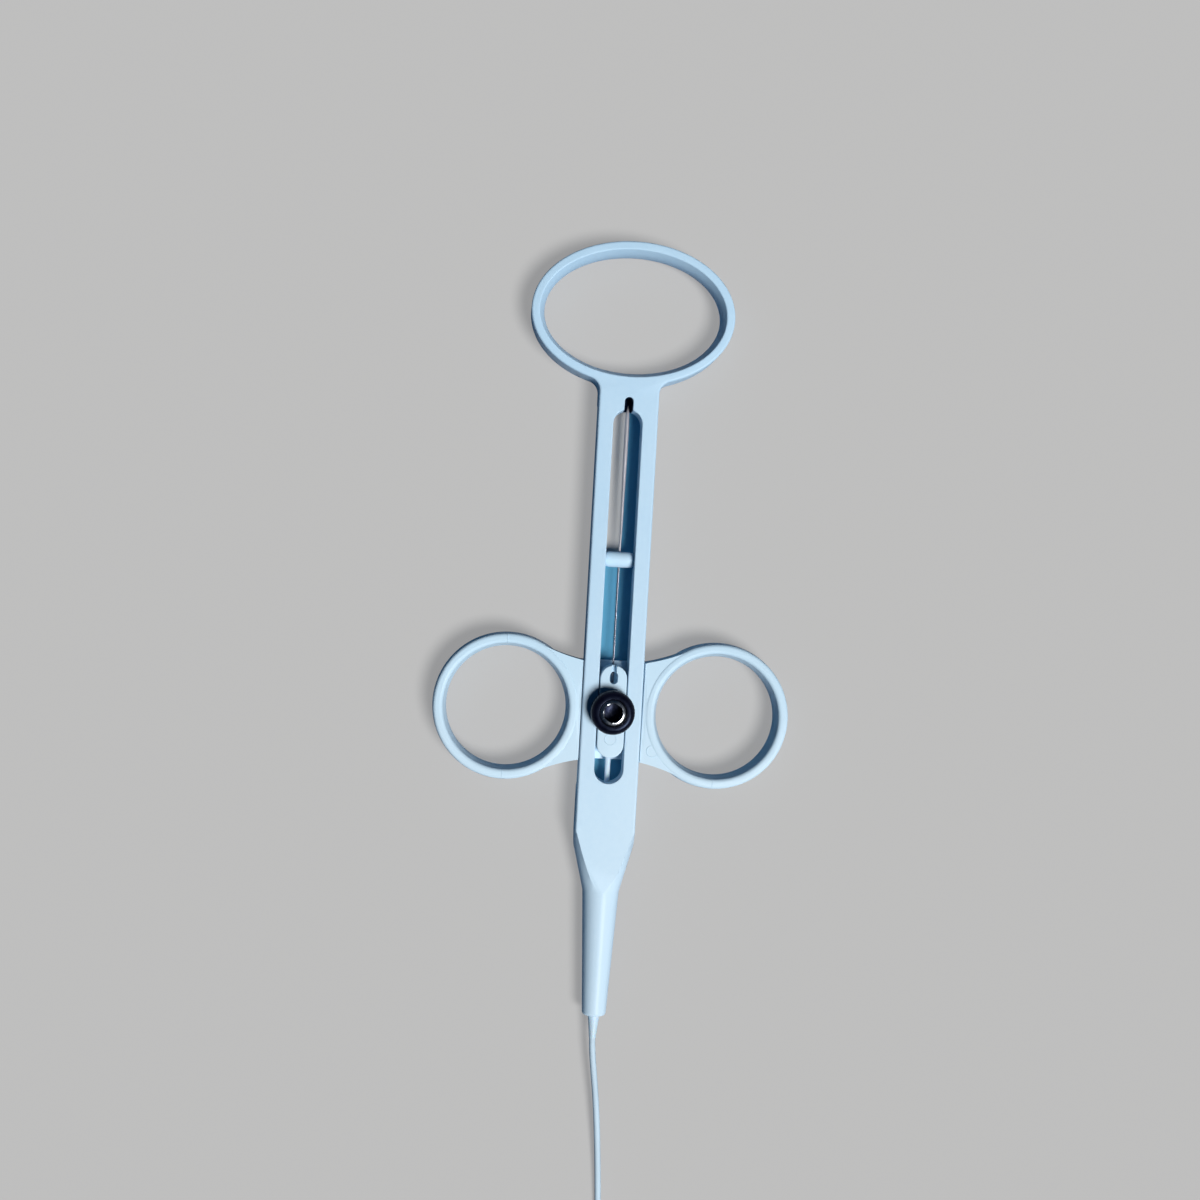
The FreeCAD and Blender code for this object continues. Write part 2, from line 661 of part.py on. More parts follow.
def make_key_plate():
    """The stadium pad on the spool's boss, with wells for insert and shoe."""
    body = new_body("key_plate")
    half = s.pad_width / 2
    bottom = s.spool_y - s.pad_half_length
    top = s.spool_y + s.pad_half_length
    height = s.face_height + s.pad_proud
    sketch = new_sketch(body, "pad_outline", "XY_Plane", lift=s.wire_height)
    profile(sketch, [
        (-half, bottom + half),
        (half, bottom + half, half),
        (half, top - half),
        (-half, top - half, half),
    ])
    block = pad(body, "pad_block", sketch, height - s.wire_height)
    doc.recompute()
    rim = body.newObject("PartDesign::Fillet", "pad_rim")
    names = edges_where(block.Shape, lambda edge: flat_at(edge, height.value))
    rim.Base = (block, [f"Edge{i}" for i in names])
    bind(rim, Radius=s.pad_round)
    wire_way(body, ("pad_groove", bottom, top))
    sketch = new_sketch(body, "shoe_well_outline", "XY_Plane", lift=height)
    circle(sketch, 0, s.spool_y, s.thread_radius + s.fit_room)
    pocket(body, "shoe_well", sketch, height - s.wire_height)
    sketch = new_sketch(body, "insert_well_outline", "XY_Plane", lift=height)
    circle(sketch, 0, s.spool_y, s.insert_radius)
    pocket(body, "insert_well", sketch, height - s.insert_floor)
    wide = s.window_width / 2
    low = s.window_y - s.window_half_length
    high = s.window_y + s.window_half_length
    sketch = new_sketch(body, "window_outline", "XY_Plane", lift=height)
    profile(sketch, [
        (-wide, low + wide),
        (wide, low + wide, wide),
        (wide, high - wide),
        (-wide, high - wide, wide),
    ])
    pocket(body, "window", sketch, height - s.window_floor)
    sketch = new_sketch(body, "lead_outline", "XY_Plane", lift=height)
    lead = s.lead_width / 2
    profile(sketch, [(-lead, s.window_y), (lead, s.window_y), (lead, top), (-lead, top)])
    pocket(body, "lead_in", sketch, height - s.lead_floor)
    sketch = new_sketch(body, "key_screw_holes", "XY_Plane", lift=s.wire_height)
    for x, y in key_screw_spots():
        circle(sketch, x, y, s.key_screw_radius)
    pocket(body, "key_screw_bores", sketch, s.key_screw_top - s.wire_height, True)
    return body


def make_key_screws():
    """The two screws that hold the key plate on the boss."""
    pieces = []
    for number, (x, y) in enumerate(key_screw_spots(), start=1):
        shank = rod(f"key_screw_shank_{number}", "Z", (x, y, s.key_screw_recess), s.key_screw_radius,
                    s.key_screw_top - s.key_screw_recess)
        head = rod(f"key_screw_head_{number}", "Z", (x, y, s.key_screw_recess), s.key_screw_head,
                   s.key_screw_head_height)
        pieces.append(fuse(f"key_screw_{number}", shank, head))
    group = doc.addObject("Part::Compound", "key_screws")
    group.Links = pieces
    return group


def make_wire_pieces():
    """The drive wire's straight part, the cannula on it and the crimped sleeve."""
    axis_at = s.wire_height
    rod("drive_wire", "Y", (0, s.wire_bottom, axis_at), s.wire_radius, s.wire_top - s.wire_bottom)
    tube("cannula", "Y", (0, s.cannula_bottom, axis_at), s.cannula_radius, s.cannula_bore_radius,
         s.cannula_top - s.cannula_bottom)
    tube("clamp_sleeve", "Y", (0, s.spool_y - s.sleeve_half_length, axis_at), s.sleeve_radius,
         s.wire_radius, s.sleeve_half_length * 2)


def make_clamp():
    """Insert, shoe, screw with its steel core, washer and knob."""
    pad_top = s.face_height + s.pad_proud
    at = (0, s.spool_y)
    tube("threaded_insert", "Z", (*at, s.insert_floor), s.insert_radius, s.thread_radius + s.fit_room,
         pad_top - s.insert_floor)
    shoe_floor = s.wire_height + s.sleeve_radius + s.touch_gap
    rod("pressure_shoe", "Z", (*at, shoe_floor), s.thread_radius - s.fit_room, s.shoe_height)
    tube("knob_washer", "Z", (*at, pad_top), s.washer_radius, s.thread_radius + s.fit_room * 3,
         s.washer_height)
    knob_floor = pad_top + s.washer_height + s.touch_gap
    knob_top = knob_floor + s.knob_height
    screw_floor = shoe_floor + s.shoe_height + s.touch_gap
    core = new_body("screw_core")
    sketch = new_sketch(core, "core_outline", "XZ_Plane", lift=-s.spool_y)
    profile(sketch, [
        (0, screw_floor),
        (s.thread_radius, screw_floor),
        (s.thread_radius, knob_floor),
        (s.core_radius, knob_floor),
        (s.core_radius, knob_top - s.core_chamfer),
        (s.core_radius - s.core_chamfer, knob_top),
        (0, knob_top),
    ])
    revolve(core, "core_turned", sketch, "V_Axis")
    socket = doc.addObject("Part::Prism", "hex_socket")
    socket.Polygon = 6
    bind(socket, Circumradius=s.hex_across_flats / math.sqrt(3), Height=s.hex_depth)
    place(socket, *at, knob_top - s.hex_depth)
    cut("clamp_screw", core, socket)
    knob = new_body("clamp_knob")
    sketch = new_sketch(knob, "knob_outline", "XZ_Plane", lift=-s.spool_y)
    curl = s.knob_round
    profile(sketch, [
        (s.core_radius, knob_floor),
        (s.knob_radius, knob_floor),
        (s.knob_radius, knob_top - curl),
        (s.knob_radius - curl, knob_top, curl * QUARTER_BULGE),
        (s.core_radius, knob_top),
    ])
    revolve(knob, "knob_turned", sketch, "V_Axis")


def rounded_path(points):
    """Straight runs joined by tangent arcs, with the radius of each arc."""
    points = [FreeCAD.Vector(*point) for point in points]
    edges = []
    radii = []
    start = points[0]
    for before, here, after in zip(points, points[1:], points[2:]):
        arriving = (here - before).normalize()
        leaving = (after - here).normalize()
        turn = arriving.getAngle(leaving)
        shorter = min((here - before).Length, (after - here).Length)
        tangent = TANGENT_SHARE * shorter
        radius = tangent / math.tan(turn / 2)
        bisector = (leaving - arriving).normalize()
        centre = here + bisector * (radius / math.cos(turn / 2))
        enter = here - arriving * tangent
        leave = here + leaving * tangent
        edges.append(Part.LineSegment(start, enter).toShape())
        edges.append(Part.Arc(enter, centre - bisector * radius, leave).toShape())
        radii.append(radius)
        start = leave
    edges.append(Part.LineSegment(start, points[-1]).toShape())
    return Part.Wire(edges), radii


def make_sheath(name, points):
    """One stretch of sheath, swept along its route."""
    path, radii = rounded_path(points)
    along = FreeCAD.Vector(*points[1]) - FreeCAD.Vector(*points[0])
    section = Part.Wire(Part.makeCircle(s.sheath_radius.value, FreeCAD.Vector(*points[0]), along))
    solid = path.makePipeShell([section], True, True)
    expected = math.pi * s.sheath_radius.value ** 2 * path.Length
    print(f"{name}: length {path.Length:.1f} mm, smallest radius {min(radii):.1f} mm, "
          f"volume {solid.Volume:.3f} mm3 against {expected:.3f} mm3")
    print(f"{name} radii:", ", ".join(f"{radius:.1f}" for radius in radii))
    feature = doc.addObject("Part::Feature", name)
    feature.Shape = solid
    feature.Placement = FreeCAD.Placement()
    return feature


def make_coil():
    """The outer shape of the put-away turns."""
    body = new_body("sheath_coil")
    sketch = new_sketch(body, "coil_section", "XZ_Plane", x=s.coil_x, lift=-s.coil_y)
    turn = s.coil_round
    inner, outer, tall = s.coil_inner_radius, s.coil_outer_radius, s.coil_height
    profile(sketch, [
        (inner + turn, 0, turn * QUARTER_BULGE),
        (outer - turn, 0),
        (outer, turn, turn * QUARTER_BULGE),
        (outer, tall - turn),
        (outer - turn, tall, turn * QUARTER_BULGE),
        (inner + turn, tall),
        (inner, tall - turn, turn * QUARTER_BULGE),
        (inner, turn),
    ])
    revolve(body, "coil_turns", sketch, "V_Axis")


# The tip is drawn with its rivet at the origin and the jaws along +X, then laid along -X.
TIP_TURN = FreeCAD.Rotation(FreeCAD.Vector(0, 0, 1), 180)
SIDEWAYS = FreeCAD.Vector(1, 0, 0)
UP = FreeCAD.Vector(0, 0, 1)


def turned(shape, axis, angle):
    """A copy of a tip piece, turned about an axis through the rivet."""
    turn = FreeCAD.Placement(FreeCAD.Vector(), FreeCAD.Rotation(axis, angle))
    return shape.transformed(turn.toMatrix(), True)


def lay_tip(name, shape):
    """Adds a tip piece at its place on the table."""
    feature = doc.addObject("Part::Feature", name)
    feature.Shape = shape
    place(feature, s.tip_x, s.tip_y, s.tip_z, TIP_TURN)
    return feature


def along_x(radius, start, end):
    """A cylinder on the tip's axis."""
    return Part.makeCylinder(radius, end - start, FreeCAD.Vector(start, 0, 0), SIDEWAYS)


def slab(x0, x1, y0, y1, z0, z1):
    """A block between two corners of the tip's own frame."""
    return Part.makeBox(x1 - x0, y1 - y0, z1 - z0, FreeCAD.Vector(x0, y0, z0))


def post(radius, x, z0, z1):
    """An upright cylinder on the tip's middle plane."""
    return Part.makeCylinder(radius, z1 - z0, FreeCAD.Vector(x, 0, z0))


def cam_point(travel):
    """Where the cross pin lies in the left jaw's own frame at a travel of the spool."""
    behind = s.pin_rest.value + s.pull_ratio.value * travel
    angle = math.radians(s.jaw_rest_angle.value - s.jaw_rate.value * travel)
    return FreeCAD.Vector(-behind * math.cos(angle), behind * math.sin(angle), 0)


def cup_outline(radius, back, front):
    """Half the section of a cup: straight back and side, and a rounded front."""
    nose = radius * s.cup_nose_share.value
    slope = radius * s.cup_slope_share.value
    corners = (FreeCAD.Vector(back, 0, 0), FreeCAD.Vector(back, 0, radius * s.cup_back_share.value),
               FreeCAD.Vector(back + slope, 0, radius), FreeCAD.Vector(front - nose, 0, radius))
    tip = FreeCAD.Vector(front, 0, 0)
    middle = FreeCAD.Vector(front - nose * QUARTER_BULGE, 0, radius * math.sqrt(0.5))
    edges = [Part.LineSegment(a, b).toShape() for a, b in zip(corners, corners[1:])]
    edges.append(Part.Arc(corners[-1], middle, tip).toShape())
    edges.append(Part.LineSegment(tip, corners[0]).toShape())
    return Part.Face(Part.Wire(edges))


def make_jaw_shape():
    """The left jaw, closed: half a hollow cup, its tang and the cam slot in it."""
    back = s.cup_back.value
    front = back + s.cup_length.value
    radius = s.cup_radius.value
    wall = s.cup_wall.value
    rim = s.cup_gap.value
    whole = cup_outline(radius, back, front).revolve(FreeCAD.Vector(), SIDEWAYS, 360)
    hollow = cup_outline(radius - wall, back + wall * 2, front - wall)
    whole = whole.cut(hollow.revolve(FreeCAD.Vector(), SIDEWAYS, 360))
    past = radius + BEYOND
    cup = whole.common(slab(0, front + BEYOND, rim, past, -past, past))
    low, high = s.tang_inner.value, s.tang_outer.value
    disc = s.tang_radius.value
    neck = slab(0, back + wall, rim, disc, low, high)
    track = Part.Arc(cam_point(-s.spool_open.value), cam_point(0), cam_point(s.spool_close.value))
    spine = Part.Wire([track.toShape()])
    room = s.pin_radius.value + s.slot_room.value
    slot = Part.Face(spine.makeOffset2D(room)).extrude(UP)
    arm = Part.Face(spine.makeOffset2D(room + wall)).extrude(UP * (high - low))
    arm.translate(UP * low)
    heel = post(disc, 0, low, high)
    hole = post(s.rivet_radius.value + s.fit_room.value, 0, low - BEYOND, high + BEYOND)
    return cup.fuse([neck, heel, arm]).cut([slot, hole])


def make_tip():
    """Ferrule, clevis, rivet, pull rod, cross pin and the two jaws."""
    radius = s.clevis_radius.value
    back = -s.clevis_back.value
    front = s.clevis_front.value
    gap = s.fork_half_gap.value
    ferrule = along_x(radius, back - s.ferrule_length.value, back)
    ferrule = ferrule.cut(along_x(s.sheath_radius.value, back - s.ferrule_length.value, back))
    lay_tip("tip_ferrule", ferrule)
    fork_floor = -s.fork_depth.value
    fork = slab(fork_floor, front + BEYOND, -radius - BEYOND, radius + BEYOND, -gap, gap)
    neck_front = back + s.neck_length.value
    clevis = along_x(radius, neck_front, front).fuse(along_x(s.neck_radius.value, back, neck_front))
    clevis = clevis.cut([fork, along_x(s.pull_bore_radius.value, back, 0)])
    rivet_room = s.rivet_radius.value
    clevis = clevis.cut(post(rivet_room, 0, -radius, radius))
    lay_tip("tip_clevis", clevis)
    flat = math.sqrt(radius ** 2 - rivet_room ** 2)
    lay_tip("tip_rivet", post(rivet_room, 0, -flat, flat))
    pin_at = -s.pin_rest.value
    half = s.tongue_half.value
    pin = s.pin_radius.value
    wide = pin * s.tongue_share.value
    tongue = slab(fork_floor - s.tongue_root.value, pin_at, -wide, wide, -half, half)
    eye = post(wide, pin_at, -half, half)
    pull = along_x(s.rod_radius.value, back + s.rod_setback.value, fork_floor - s.rod_stop.value)
    pull = pull.fuse([tongue, eye]).cut(post(pin, pin_at, -BEYOND, BEYOND)).removeSplitter()
    lay_tip("pull_rod", pull)
    reach = s.tang_outer.value
    lay_tip("cross_pin", post(pin, pin_at, -reach, reach))
    jaw = make_jaw_shape()
    lay_tip("jaw_left", turned(jaw, UP, s.jaw_rest_angle.value))
    lay_tip("jaw_right", turned(turned(jaw, SIDEWAYS, 180), UP, -s.jaw_rest_angle.value))


NODES = (
    "handle_frame", "wire_guide_bar", "nose_guide_tube", "sheath_gland", "strain_relief",
    "finger_spool", "key_plate", "key_screws", "threaded_insert", "drive_wire", "cannula",
    "clamp_sleeve", "knob_washer", "pressure_shoe", "clamp_screw", "clamp_knob",
    "sheath_lead", "sheath_coil", "sheath_tail", "tip_ferrule", "tip_clevis", "tip_rivet",
    "pull_rod", "cross_pin", "jaw_left", "jaw_right",
)


def main():
    make_handle_frame()
    make_guide_bar()
    make_nose_pieces()
    make_finger_spool()
    make_key_plate()
    make_key_screws()
    make_wire_pieces()
    make_clamp()
    make_sheath("sheath_lead", LEAD_ROUTE)
    make_coil()
    make_sheath("sheath_tail", TAIL_ROUTE)
    make_tip()
    doc.recompute()
    for thing in doc.Objects:
        if {"Invalid", "Error"} & set(thing.State):
            raise RuntimeError(f"{thing.Label} failed to build")
    os.makedirs("parts", exist_ok=True)
    for node in NODES:
        shape = doc.getObjectsByLabel(node)[0].Shape
        if shape.isNull() or not shape.isValid():
            raise RuntimeError(f"{node} isn't a valid solid")
        print(f"{node}: {len(shape.Solids)} solid, {shape.Volume:.2f} mm3")
        shape.exportStep(f"parts/{node}.step")


main()
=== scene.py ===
import enum
import logging
import math
from dataclasses import dataclass
from typing import Sequence

import bmesh
import bpy
import numpy as np
from mathutils import Matrix, Vector


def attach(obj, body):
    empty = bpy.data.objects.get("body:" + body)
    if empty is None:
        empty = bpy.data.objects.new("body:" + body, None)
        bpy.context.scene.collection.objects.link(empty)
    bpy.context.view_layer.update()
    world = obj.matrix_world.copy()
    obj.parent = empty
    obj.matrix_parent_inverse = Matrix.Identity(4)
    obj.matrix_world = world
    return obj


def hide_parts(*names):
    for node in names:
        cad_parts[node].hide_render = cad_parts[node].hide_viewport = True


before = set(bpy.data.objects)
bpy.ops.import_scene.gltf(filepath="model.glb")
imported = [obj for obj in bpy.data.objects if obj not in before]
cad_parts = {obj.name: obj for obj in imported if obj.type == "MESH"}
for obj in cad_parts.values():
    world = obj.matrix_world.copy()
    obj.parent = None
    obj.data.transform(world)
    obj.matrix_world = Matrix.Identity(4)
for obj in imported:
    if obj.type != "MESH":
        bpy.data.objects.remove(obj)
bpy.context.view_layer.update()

# Looks of a flexible biopsy forceps with a three-ring handle, in the CAD's frame: +Z is up through the front
# face and +Y runs to the thumb ring. Meshes and materials are in metres, the classes' sizes in millimetres.

MM = 0.001
LOG = logging.getLogger("biopsy_forceps")
Colour = tuple[float, float, float]
Point = tuple[float, float, float]
Box = tuple[Point, Point]
Piece = bpy.types.Object
Socket = bpy.types.NodeSocket


class NodeSketch:
    """Builds the nodes of one material, or of the world, with short calls."""

    def __init__(self, owner: bpy.types.Material | bpy.types.World) -> None:
        """Turns the owner's nodes on and finds its shader and its output.

        Args:
            owner: A new material, or a new world, which has no Principled shader.
        """
        self.owner = owner
        owner.use_nodes = True
        self.nodes = owner.node_tree.nodes
        self.links = owner.node_tree.links
        self.shader = next((node for node in self.nodes if node.type == "BSDF_PRINCIPLED"), None)
        self.surface = next(node for node in self.nodes if node.type.startswith("OUTPUT")).inputs["Surface"]

    def add(self, kind: str, **settings: object) -> bpy.types.Node:
        """Adds a node and sets its properties, and its input sockets by name.

        Args:
            kind: The node's type, without the ShaderNode prefix.
            **settings: Properties of the node, or values of its inputs with spaces as underscores.

        Returns:
            The new node.
        """
        node = self.nodes.new("ShaderNode" + kind)
        for name, value in settings.items():
            if hasattr(node, name):
                setattr(node, name, value)
            else:
                node.inputs[name.replace("_", " ")].default_value = value
        return node

    def join(self, source: Socket, target: Socket) -> None:
        """Links two sockets."""
        self.links.new(source, target)

    def shade(self, **values: object) -> None:
        """Sets constants on the shader's own sockets, with spaces as underscores."""
        for name, value in values.items():
            self.shader.inputs[name.replace("_", " ")].default_value = value

    def place(self, scale: Point = (1.0, 1.0, 1.0), source: str = "Object") -> Socket:
        """Coordinates on the piece.

        Args:
            scale: How densely a pattern runs along each axis.
            source: Object or UV.

        Returns:
            The coordinates times the scale.
        """
        where = self.add("TexCoord")
        mapping = self.add("Mapping", Scale=scale)
        self.join(where.outputs[source], mapping.inputs["Vector"])
        return mapping.outputs["Vector"]

    def noise(self, where: Socket, scale: float, detail: float = 3.0, roughness: float = 0.55) -> Socket:
        """A noise pattern.

        Args:
            where: Its coordinates.
            scale: Its fineness.
            detail: Its number of finer layers.
            roughness: How strong those layers are.

        Returns:
            The pattern's height.
        """
        node = self.add("TexNoise", Scale=scale, Detail=detail, Roughness=roughness)
        self.join(where, node.inputs["Vector"])
        return node.outputs["Fac"]

    def between(self, factor: Socket, low: float, high: float, start: float = 0.3,
                end: float = 0.7) -> Socket:
        """Maps a pattern's start to end onto low to high, and clamps it there.

        Args:
            factor: The pattern.
            low: The result at the start.
            high: The result at the end.
            start: The pattern's value at the start.
            end: The pattern's value at the end.

        Returns:
            The mapped pattern.
        """
        node = self.add("MapRange", From_Min=start, From_Max=end, To_Min=low, To_Max=high)
        self.join(factor, node.inputs["Value"])
        return node.outputs["Result"]

    def math(self, operation: str, first: Socket, second: float | Socket = 0.0,
             clamp: bool = False) -> Socket:
        """A sum, product or comparison.

        Args:
            operation: The Math node's operation.
            first: A pattern.
            second: A number or another pattern.
            clamp: Whether the result is kept between nought and one.

        Returns:
            The result.
        """
        node = self.add("Math", operation=operation, use_clamp=clamp)
        self.join(first, node.inputs[0])
        if isinstance(second, Socket):
            self.join(second, node.inputs[1])
        else:
            node.inputs[1].default_value = second
        return node.outputs["Value"]

    def blend(self, share: Socket, first: Socket, second: Socket) -> Socket:
        """A mix of two shaders.

        Args:
            share: Nought for the first shader and one for the second.
            first: A shader.
            second: Another shader.

        Returns:
            The mixed shader.
        """
        node = self.add("MixShader")
        for place, socket in enumerate((share, first, second)):
            self.join(socket, node.inputs[place])
        return node.outputs["Shader"]

    def coordinate(self, axis: str) -> Socket:
        """One of the object's coordinates.

        Args:
            axis: X, Y or Z.

        Returns:
            The coordinate, in metres.
        """
        split = self.add("SeparateXYZ")
        self.join(self.place(), split.inputs["Vector"])
        return split.outputs[axis]

    def rays(self) -> tuple[Socket, Socket]:
        """Tells apart the rays that meet the surface.

        Returns:
            Whether a ray comes from the camera, and whether it comes from there, a mirror or glass.
        """
        path = self.add("LightPath")
        camera = path.outputs["Is Camera Ray"]
        mirrored = self.math("ADD", path.outputs["Is Glossy Ray"], path.outputs["Is Transmission Ray"])
        return camera, self.math("ADD", camera, mirrored, True)

    def tint(self, factor: Socket, first: Colour, second: Colour, start: float = 0.3,
             end: float = 0.7) -> None:
        """Lets a pattern blend the base colour between two colours.

        Args:
            factor: The pattern.
            first: The colour up to the start.
            second: The colour from the end on.
            start: The pattern's value at the start.
            end: The pattern's value at the end.
        """
        ramp = self.add("ValToRGB")
        for stop, at, colour in zip(ramp.color_ramp.elements, (start, end), (first, second)):
            stop.position, stop.color = at, (*colour, 1)
        self.join(factor, ramp.inputs["Fac"])
        self.join(ramp.outputs["Color"], self.shader.inputs["Base Color"])

    def mottle(self, factor: Socket, colour: Colour, low: float, high: float) -> None:
        """Lets a pattern run from a darker to a lighter share of one colour."""
        self.tint(factor, scaled(colour, low), scaled(colour, high))

    def gloss(self, factor: Socket, low: float, high: float) -> None:
        """Lets a pattern vary the roughness from low to high."""
        self.join(self.between(factor, low, high), self.shader.inputs["Roughness"])

    def bump(self, height: Socket, distance: float, strength: float = 1.0,
             under: Socket | None = None) -> Socket:
        """Turns a pattern into relief on the shader.

        Args:
            height: The pattern.
            distance: The relief's depth, in metres.
            strength: The share of it that shows.
            under: An earlier relief that this one lies on.

        Returns:
            The relief.
        """
        node = self.add("Bump", Strength=strength, Distance=distance)
        self.join(height, node.inputs["Height"])
        if under is not None:
            self.join(under, node.inputs["Normal"])
        self.join(node.outputs["Normal"], self.shader.inputs["Normal"])
        return node.outputs["Normal"]


def scaled(colour: Colour, factor: float) -> Colour:
    """A colour made darker or lighter."""
    return tuple(min(1.0, channel * factor) for channel in colour)


@dataclass(frozen=True)
class MouldedPlastic:
    """Injection-moulded plastic with a satin gloss, flow marks and fine orange peel. Its tint is painted
    light: it runs slowly lighter from one end of the moulding to the other, standing in for brighter light on
    that end."""

    name: str
    colour: Colour
    # painted light: the lighter colour at the -Y end of the moulding
    painted_light_colour: Colour
    painted_light_span: tuple[float, float] = (0.055, -0.05)
    roughness: float = 0.35
    flow_scale: float = 60.0
    flow_share: float = 0.22
    peel_depth: float = 4e-6
    # painted shade: a box inside which the surface is coloured nearly black, as deep shade in the notch
    painted_shade_box: Box | None = None
    painted_shade_colour: Colour = (0.006, 0.02, 0.06)
    fleck_scale: float = 900.0
    fleck_share: float = 0.07
    peel_scale: float = 2600.0

    def material(self) -> bpy.types.Material:
        """Builds the node material.

        Returns:
            The material.
        """
        sketch = NodeSketch(bpy.data.materials.new(self.name))
        sketch.shade(Specular_IOR_Level=0.04, Coat_Weight=0.11, Coat_Roughness=0.27)
        # Painted light: the base colour turns lighter towards -Y, standing in for brighter light on that end.
        painted_light_run = sketch.between(sketch.coordinate("Y"), 0.0, 1.0, *self.painted_light_span)
        flow = sketch.noise(sketch.place((1.0, 0.35, 1.0)), self.flow_scale, 5.0)
        fleck = sketch.noise(sketch.place(), self.fleck_scale, 3.0, 0.7)
        drift = sketch.math("ADD", painted_light_run, sketch.between(flow, -self.flow_share, self.flow_share))
        spots = sketch.between(fleck, -self.fleck_share, self.fleck_share, 0.35, 0.65)
        sketch.tint(sketch.math("ADD", drift, spots), self.colour, self.painted_light_colour, 0.0, 1.0)
        # Painted shade: the walls of the wire's notch are coloured nearly black.
        if self.painted_shade_box is not None:
            self.paint_pocket_shade(sketch, *self.painted_shade_box)
        peel = sketch.noise(sketch.place(), self.peel_scale, 2.0)
        sketch.gloss(peel, self.roughness - 0.05, self.roughness + 0.07)
        under = sketch.bump(peel, self.peel_depth, 0.6)
        sketch.bump(flow, self.peel_depth * 4, 0.5, under)
        return sketch.owner

    def paint_pocket_shade(self, sketch: NodeSketch, low: Point, high: Point) -> None:
        """Paints shade into a pocket: the colour turns nearly black where all three coordinates lie inside a
        box, standing in for deep shade on the notch's walls.

        Args:
            sketch: The material, whose base colour is set.
            low: The box's lowest corner, in metres.
            high: The box's highest corner, in metres.
        """
        inside = None
        for axis, bottom, top in zip("XYZ", low, high):
            middle, half = (bottom + top) / 2, (top - bottom) / 2
            away = sketch.math("ABSOLUTE", sketch.math("ADD", sketch.coordinate(axis), -middle))
            within = sketch.math("LESS_THAN", away, half)
            inside = within if inside is None else sketch.math("MULTIPLY", inside, within)
        base = sketch.shader.inputs["Base Color"]
        mix = sketch.add("Mix", data_type="RGBA")
        sketch.join(base.links[0].from_socket, mix.inputs[6])
        mix.inputs[7].default_value = (*self.painted_shade_colour, 1)
        sketch.join(inside, mix.inputs[0])
        sketch.join(mix.outputs[2], base)


@dataclass(frozen=True)
class GroundMetal:
    """Turned or ground metal: fine lines along one direction and a worn sheen."""

    name: str
    colour: Colour
    roughness: float = 0.3
    lines: Point = (1.0, 1.0, 1.0)
    line_scale: float = 2400.0
    line_depth: float = 1e-6
    wear_scale: float = 420.0

    def material(self) -> bpy.types.Material:
        """Builds the node material.

        Returns:
            The material.
        """
        sketch = NodeSketch(bpy.data.materials.new(self.name))
        sketch.shade(Metallic=1.0, Specular_IOR_Level=0.5)
        lines = sketch.noise(sketch.place(self.lines), self.line_scale, 2.0)
        sketch.mottle(sketch.noise(sketch.place(), self.wear_scale, 4.0), self.colour, 0.86, 1.08)
        sketch.gloss(lines, self.roughness - 0.08, self.roughness + 0.1)
        sketch.bump(lines, self.line_depth, 0.3)
        return sketch.owner


@dataclass(frozen=True)
class PolishedBlack:
    """Black knob plastic, polished, with a little handling haze."""

    name: str
    colour: Colour
    roughness: float = 0.24
    gloss_tint: Colour = (0.45, 0.6, 1.0)
    haze_scale: float = 700.0

    def material(self) -> bpy.types.Material:
        """Builds the node material.

        Returns:
            The material.
        """
        sketch = NodeSketch(bpy.data.materials.new(self.name))
        sketch.shade(Specular_IOR_Level=0.15, Specular_Tint=(*self.gloss_tint, 1))
        haze = sketch.noise(sketch.place(), self.haze_scale, 5.0)
        sketch.mottle(haze, self.colour, 0.8, 1.3)
        sketch.gloss(haze, self.roughness - 0.05, self.roughness + 0.12)
        sketch.bump(sketch.noise(sketch.place(), 3200.0, 2.0), 3e-6, 0.5)
        return sketch.owner


@dataclass(frozen=True)
class CoatedCoil:
    """A coiled steel sheath under a matt coat: its fine turns show faintly through the coat."""

    name: str
    colour: Colour
    turns: float = 900.0
    turn_depth: float = 1.2e-5
    stain_scale: float = 160.0

    def material(self) -> bpy.types.Material:
        """Builds the node material.

        Returns:
            The material.
        """
        sketch = NodeSketch(bpy.data.materials.new(self.name))
        sketch.shade(Specular_IOR_Level=0.2)
        sketch.mottle(sketch.noise(sketch.place(), self.stain_scale, 4.0), self.colour, 0.95, 1.03)
        fine = sketch.noise(sketch.place(), 2100.0, 2.0)
        sketch.gloss(fine, 0.6, 0.75)
        wave = sketch.add("TexWave", wave_type="BANDS", bands_direction="X", Scale=self.turns, Distortion=0.0)
        sketch.join(sketch.place(source="UV"), wave.inputs["Vector"])
        under = sketch.bump(wave.outputs["Fac"], self.turn_depth, 0.35)
        sketch.bump(fine, 3e-6, 0.4, under)
        return sketch.owner


@dataclass(frozen=True)
class ClearTube:
    """A whitish tube that lets some light through."""

    name: str
    colour: Colour
    cloud_scale: float = 520.0

    def material(self) -> bpy.types.Material:
        """Builds the node material.

        Returns:
            The material.
        """
        sketch = NodeSketch(bpy.data.materials.new(self.name))
        sketch.shade(Specular_IOR_Level=0.35, Subsurface_Weight=0.12, Subsurface_Scale=0.0004)
        cloud = sketch.noise(sketch.place((1.0, 0.3, 1.0)), self.cloud_scale, 3.0)
        sketch.mottle(cloud, self.colour, 0.95, 1.03)
        sketch.gloss(cloud, 0.4, 0.52)
        sketch.bump(cloud, 4e-6, 0.4)
        return sketch.owner


